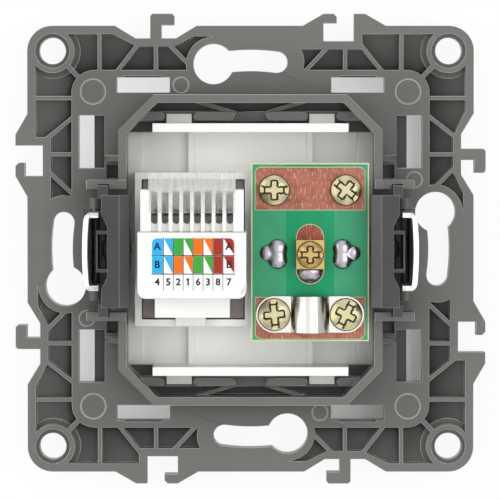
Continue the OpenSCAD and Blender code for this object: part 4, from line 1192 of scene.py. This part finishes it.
class SOCKET_OT_stage(bpy.types.Operator):
    """Sets the camera, the lights, the sky and the white table"""

    bl_idname = "socket.stage"
    bl_label = "Stage"

    SHIFT = (-0.001, -0.002)
    OPEN_GLOW = 0.9
    # the lower glow under the windows is painted shadow
    WINDOW_GLOW = 0.3
    GLOW_RISE = 6.0
    GLOW_FALL = 7.5
    WINDOW_START = (10.6 * MM, 11 * MM)
    WINDOW_END = (28.2 * MM, 28.6 * MM)
    LIGHTS = (
        ("left", (-0.78, -0.5, 0.1), 0.9), ("right", (0.38, -0.82, 0.05), 0.6),
        ("front", (-0.1, -1.3, 0.1), 2.0), ("top", (0.0, -0.55, 0.8), 0.5),
        ("fill", (0.2, -0.6, -0.75), 0.7), ("room", (0.35, 0.85, 0.6), 0.7),
    )

    def execute(self, context):
        stage = context.scene.socket_stage
        self.camera(context, stage)
        for name, place, size in self.LIGHTS:
            self.light(name + "_light", place, size, getattr(stage, name))
        self.table()
        self.sky(context, stage.sky)
        context.scene.view_settings.view_transform = "Standard"
        return {"FINISHED"}

    def camera(self, context, stage):
        """A camera at the photograph's angle, a little over the centre."""
        tilt = math.atan2(stage.rise, stage.distance)
        bpy.ops.object.camera_add(
            location=(0, -stage.distance, stage.rise), rotation=(math.radians(90) - tilt, 0, 0)
        )
        camera = active()
        camera.name = "photo_camera"
        camera.data.lens = stage.lens
        camera.data.shift_x, camera.data.shift_y = self.SHIFT
        context.scene.camera = camera

    def light(self, name, place, size, watts):
        """A square lamp that faces the socket."""
        aim = (-Vector(place)).to_track_quat("-Z", "Y").to_euler()
        bpy.ops.object.light_add(type="AREA", location=place, rotation=aim)
        light = active()
        light.name = name
        light.data.size = size
        light.data.energy = watts

    def table(self):
        """A white table that the front of the socket lies on, seen only from the rear side."""
        clear = 0.3 * MM
        bpy.ops.mesh.primitive_plane_add(size=3, location=(0, CAD_BOX[1][1] + clear, 0), rotation=UPRIGHT)
        table = active()
        table.name = "table"
        settle(table)
        table.visible_shadow = False
        material = bpy.data.materials.new("table_white")
        material.use_nodes = True
        tree = material.node_tree
        tree.nodes.clear()
        place = object_place(tree)
        grain = spread(tree, noise(tree, place, 60, 3), 0.94, 0.97)
        white = add(tree, "ShaderNodeCombineColor", [(0, grain), (1, grain), (2, grain)]).outputs[0]
        matt = add(tree, "ShaderNodeBsdfDiffuse", [("Color", white)]).outputs[0]
        glow = add(tree, "ShaderNodeEmission", [("Color", (1, 1, 1, 1)), ("Strength", 1.0)]).outputs[0]
        seen = background_rays(tree)
        share = times(tree, seen, self.open_table(tree, place))
        lit = add(tree, "ShaderNodeMixShader", [(0, share), (1, matt), (2, glow)]).outputs[0]
        gone = add(tree, "ShaderNodeBsdfTransparent").outputs[0]
        back = add(tree, "ShaderNodeNewGeometry").outputs["Backfacing"]
        shown = add(tree, "ShaderNodeMixShader", [(0, back), (1, lit), (2, gone)]).outputs[0]
        add(tree, "ShaderNodeOutputMaterial", [("Surface", shown)])
        table.data.materials.append(material)

    def open_table(self, tree, place):
        """Share of glow: high on the open table, and low under the latch windows of the frame, which
        paints the frame's shadow there, lighter towards the top and the left.
        """
        axes = axes_of(tree, place)
        x = maths(tree, "ABSOLUTE", axes["X"])
        z = maths(tree, "ABSOLUTE", axes["Z"])
        near = spread(tree, maths(tree, "MAXIMUM", x, z), 1, 0, *self.WINDOW_END)
        aside = spread(tree, maths(tree, "MINIMUM", x, z), 0, 1, *self.WINDOW_START)
        shade = times(tree, near, aside)
        # painted light: under the windows the glow rises towards the top and the left
        rise = times(tree, axes["Z"], self.GLOW_RISE)
        slope = minus(tree, rise, times(tree, axes["X"], self.GLOW_FALL))
        painted_window_shadow = plus(tree, slope, self.WINDOW_GLOW)
        made = add(tree, "ShaderNodeMix", [(0, shade), (2, self.OPEN_GLOW), (3, painted_window_shadow)])
        return made.outputs[0]

    def sky(self, context, strength):
        """Soft light from all around, brighter from above, and white where the background is met."""
        world = bpy.data.worlds.new("soft_sky")
        context.scene.world = world
        world.use_nodes = True
        tree = world.node_tree
        tree.nodes.clear()
        way = add(tree, "ShaderNodeTexCoord").outputs["Generated"]
        rise = spread(tree, axes_of(tree, way)["Z"], 0.6, 1.25, -1, 1)
        grey = add(tree, "ShaderNodeCombineColor", [(0, rise), (1, rise), (2, rise)]).outputs[0]
        soft = add(tree, "ShaderNodeBackground", [("Color", grey), ("Strength", strength)]).outputs[0]
        white = add(tree, "ShaderNodeBackground", [("Color", (1, 1, 1, 1)), ("Strength", 1.0)]).outputs[0]
        seen = background_rays(tree)
        shown = add(tree, "ShaderNodeMixShader", [(0, seen), (1, soft), (2, white)]).outputs[0]
        add(tree, "ShaderNodeOutputWorld", [("Surface", shown)])


OPERATORS = (
    SOCKET_OT_stage, SOCKET_OT_support_frame, SOCKET_OT_insert, SOCKET_OT_claws, SOCKET_OT_claw_screws,
    SOCKET_OT_jack_housing, SOCKET_OT_wiring_block, SOCKET_OT_label, SOCKET_OT_tv_board, SOCKET_OT_solder,
    SOCKET_OT_board_fixings, SOCKET_OT_tv_port,
)


class SOCKET_PT_panel(bpy.types.Panel):
    """Lists the steps that dress the socket"""

    bl_idname = "SOCKET_PT_panel"
    bl_label = "Wall socket"
    bl_space_type = "VIEW_3D"
    bl_region_type = "UI"
    bl_category = "Socket"

    def draw(self, context):
        for operator in OPERATORS:
            self.layout.operator(operator.bl_idname)
        scene = context.scene
        for group in (scene.socket_colours, scene.socket_sizes, scene.socket_stage):
            box = self.layout.box()
            for key in group.__annotations__:
                box.prop(group, key)


CLASSES = (SocketColours, SocketSizes, SocketStage, *OPERATORS, SOCKET_PT_panel)


def register():
    for cls in CLASSES:
        bpy.utils.register_class(cls)
    bpy.types.Scene.socket_colours = bpy.props.PointerProperty(type=SocketColours)
    bpy.types.Scene.socket_sizes = bpy.props.PointerProperty(type=SocketSizes)
    bpy.types.Scene.socket_stage = bpy.props.PointerProperty(type=SocketStage)


def unregister():
    del bpy.types.Scene.socket_colours
    del bpy.types.Scene.socket_sizes
    del bpy.types.Scene.socket_stage
    for cls in reversed(CLASSES):
        bpy.utils.unregister_class(cls)


def main():
    register()
    bpy.ops.socket.stage()
    bpy.ops.socket.support_frame()
    bpy.ops.socket.insert()
    bpy.ops.socket.claws()
    bpy.ops.socket.claw_screws()
    bpy.ops.socket.jack_housing()
    bpy.ops.socket.wiring_block()
    bpy.ops.socket.label()
    bpy.ops.socket.tv_board()
    bpy.ops.socket.solder()
    bpy.ops.socket.board_fixings()
    bpy.ops.socket.tv_port()


if __name__ == "__main__":
    main()
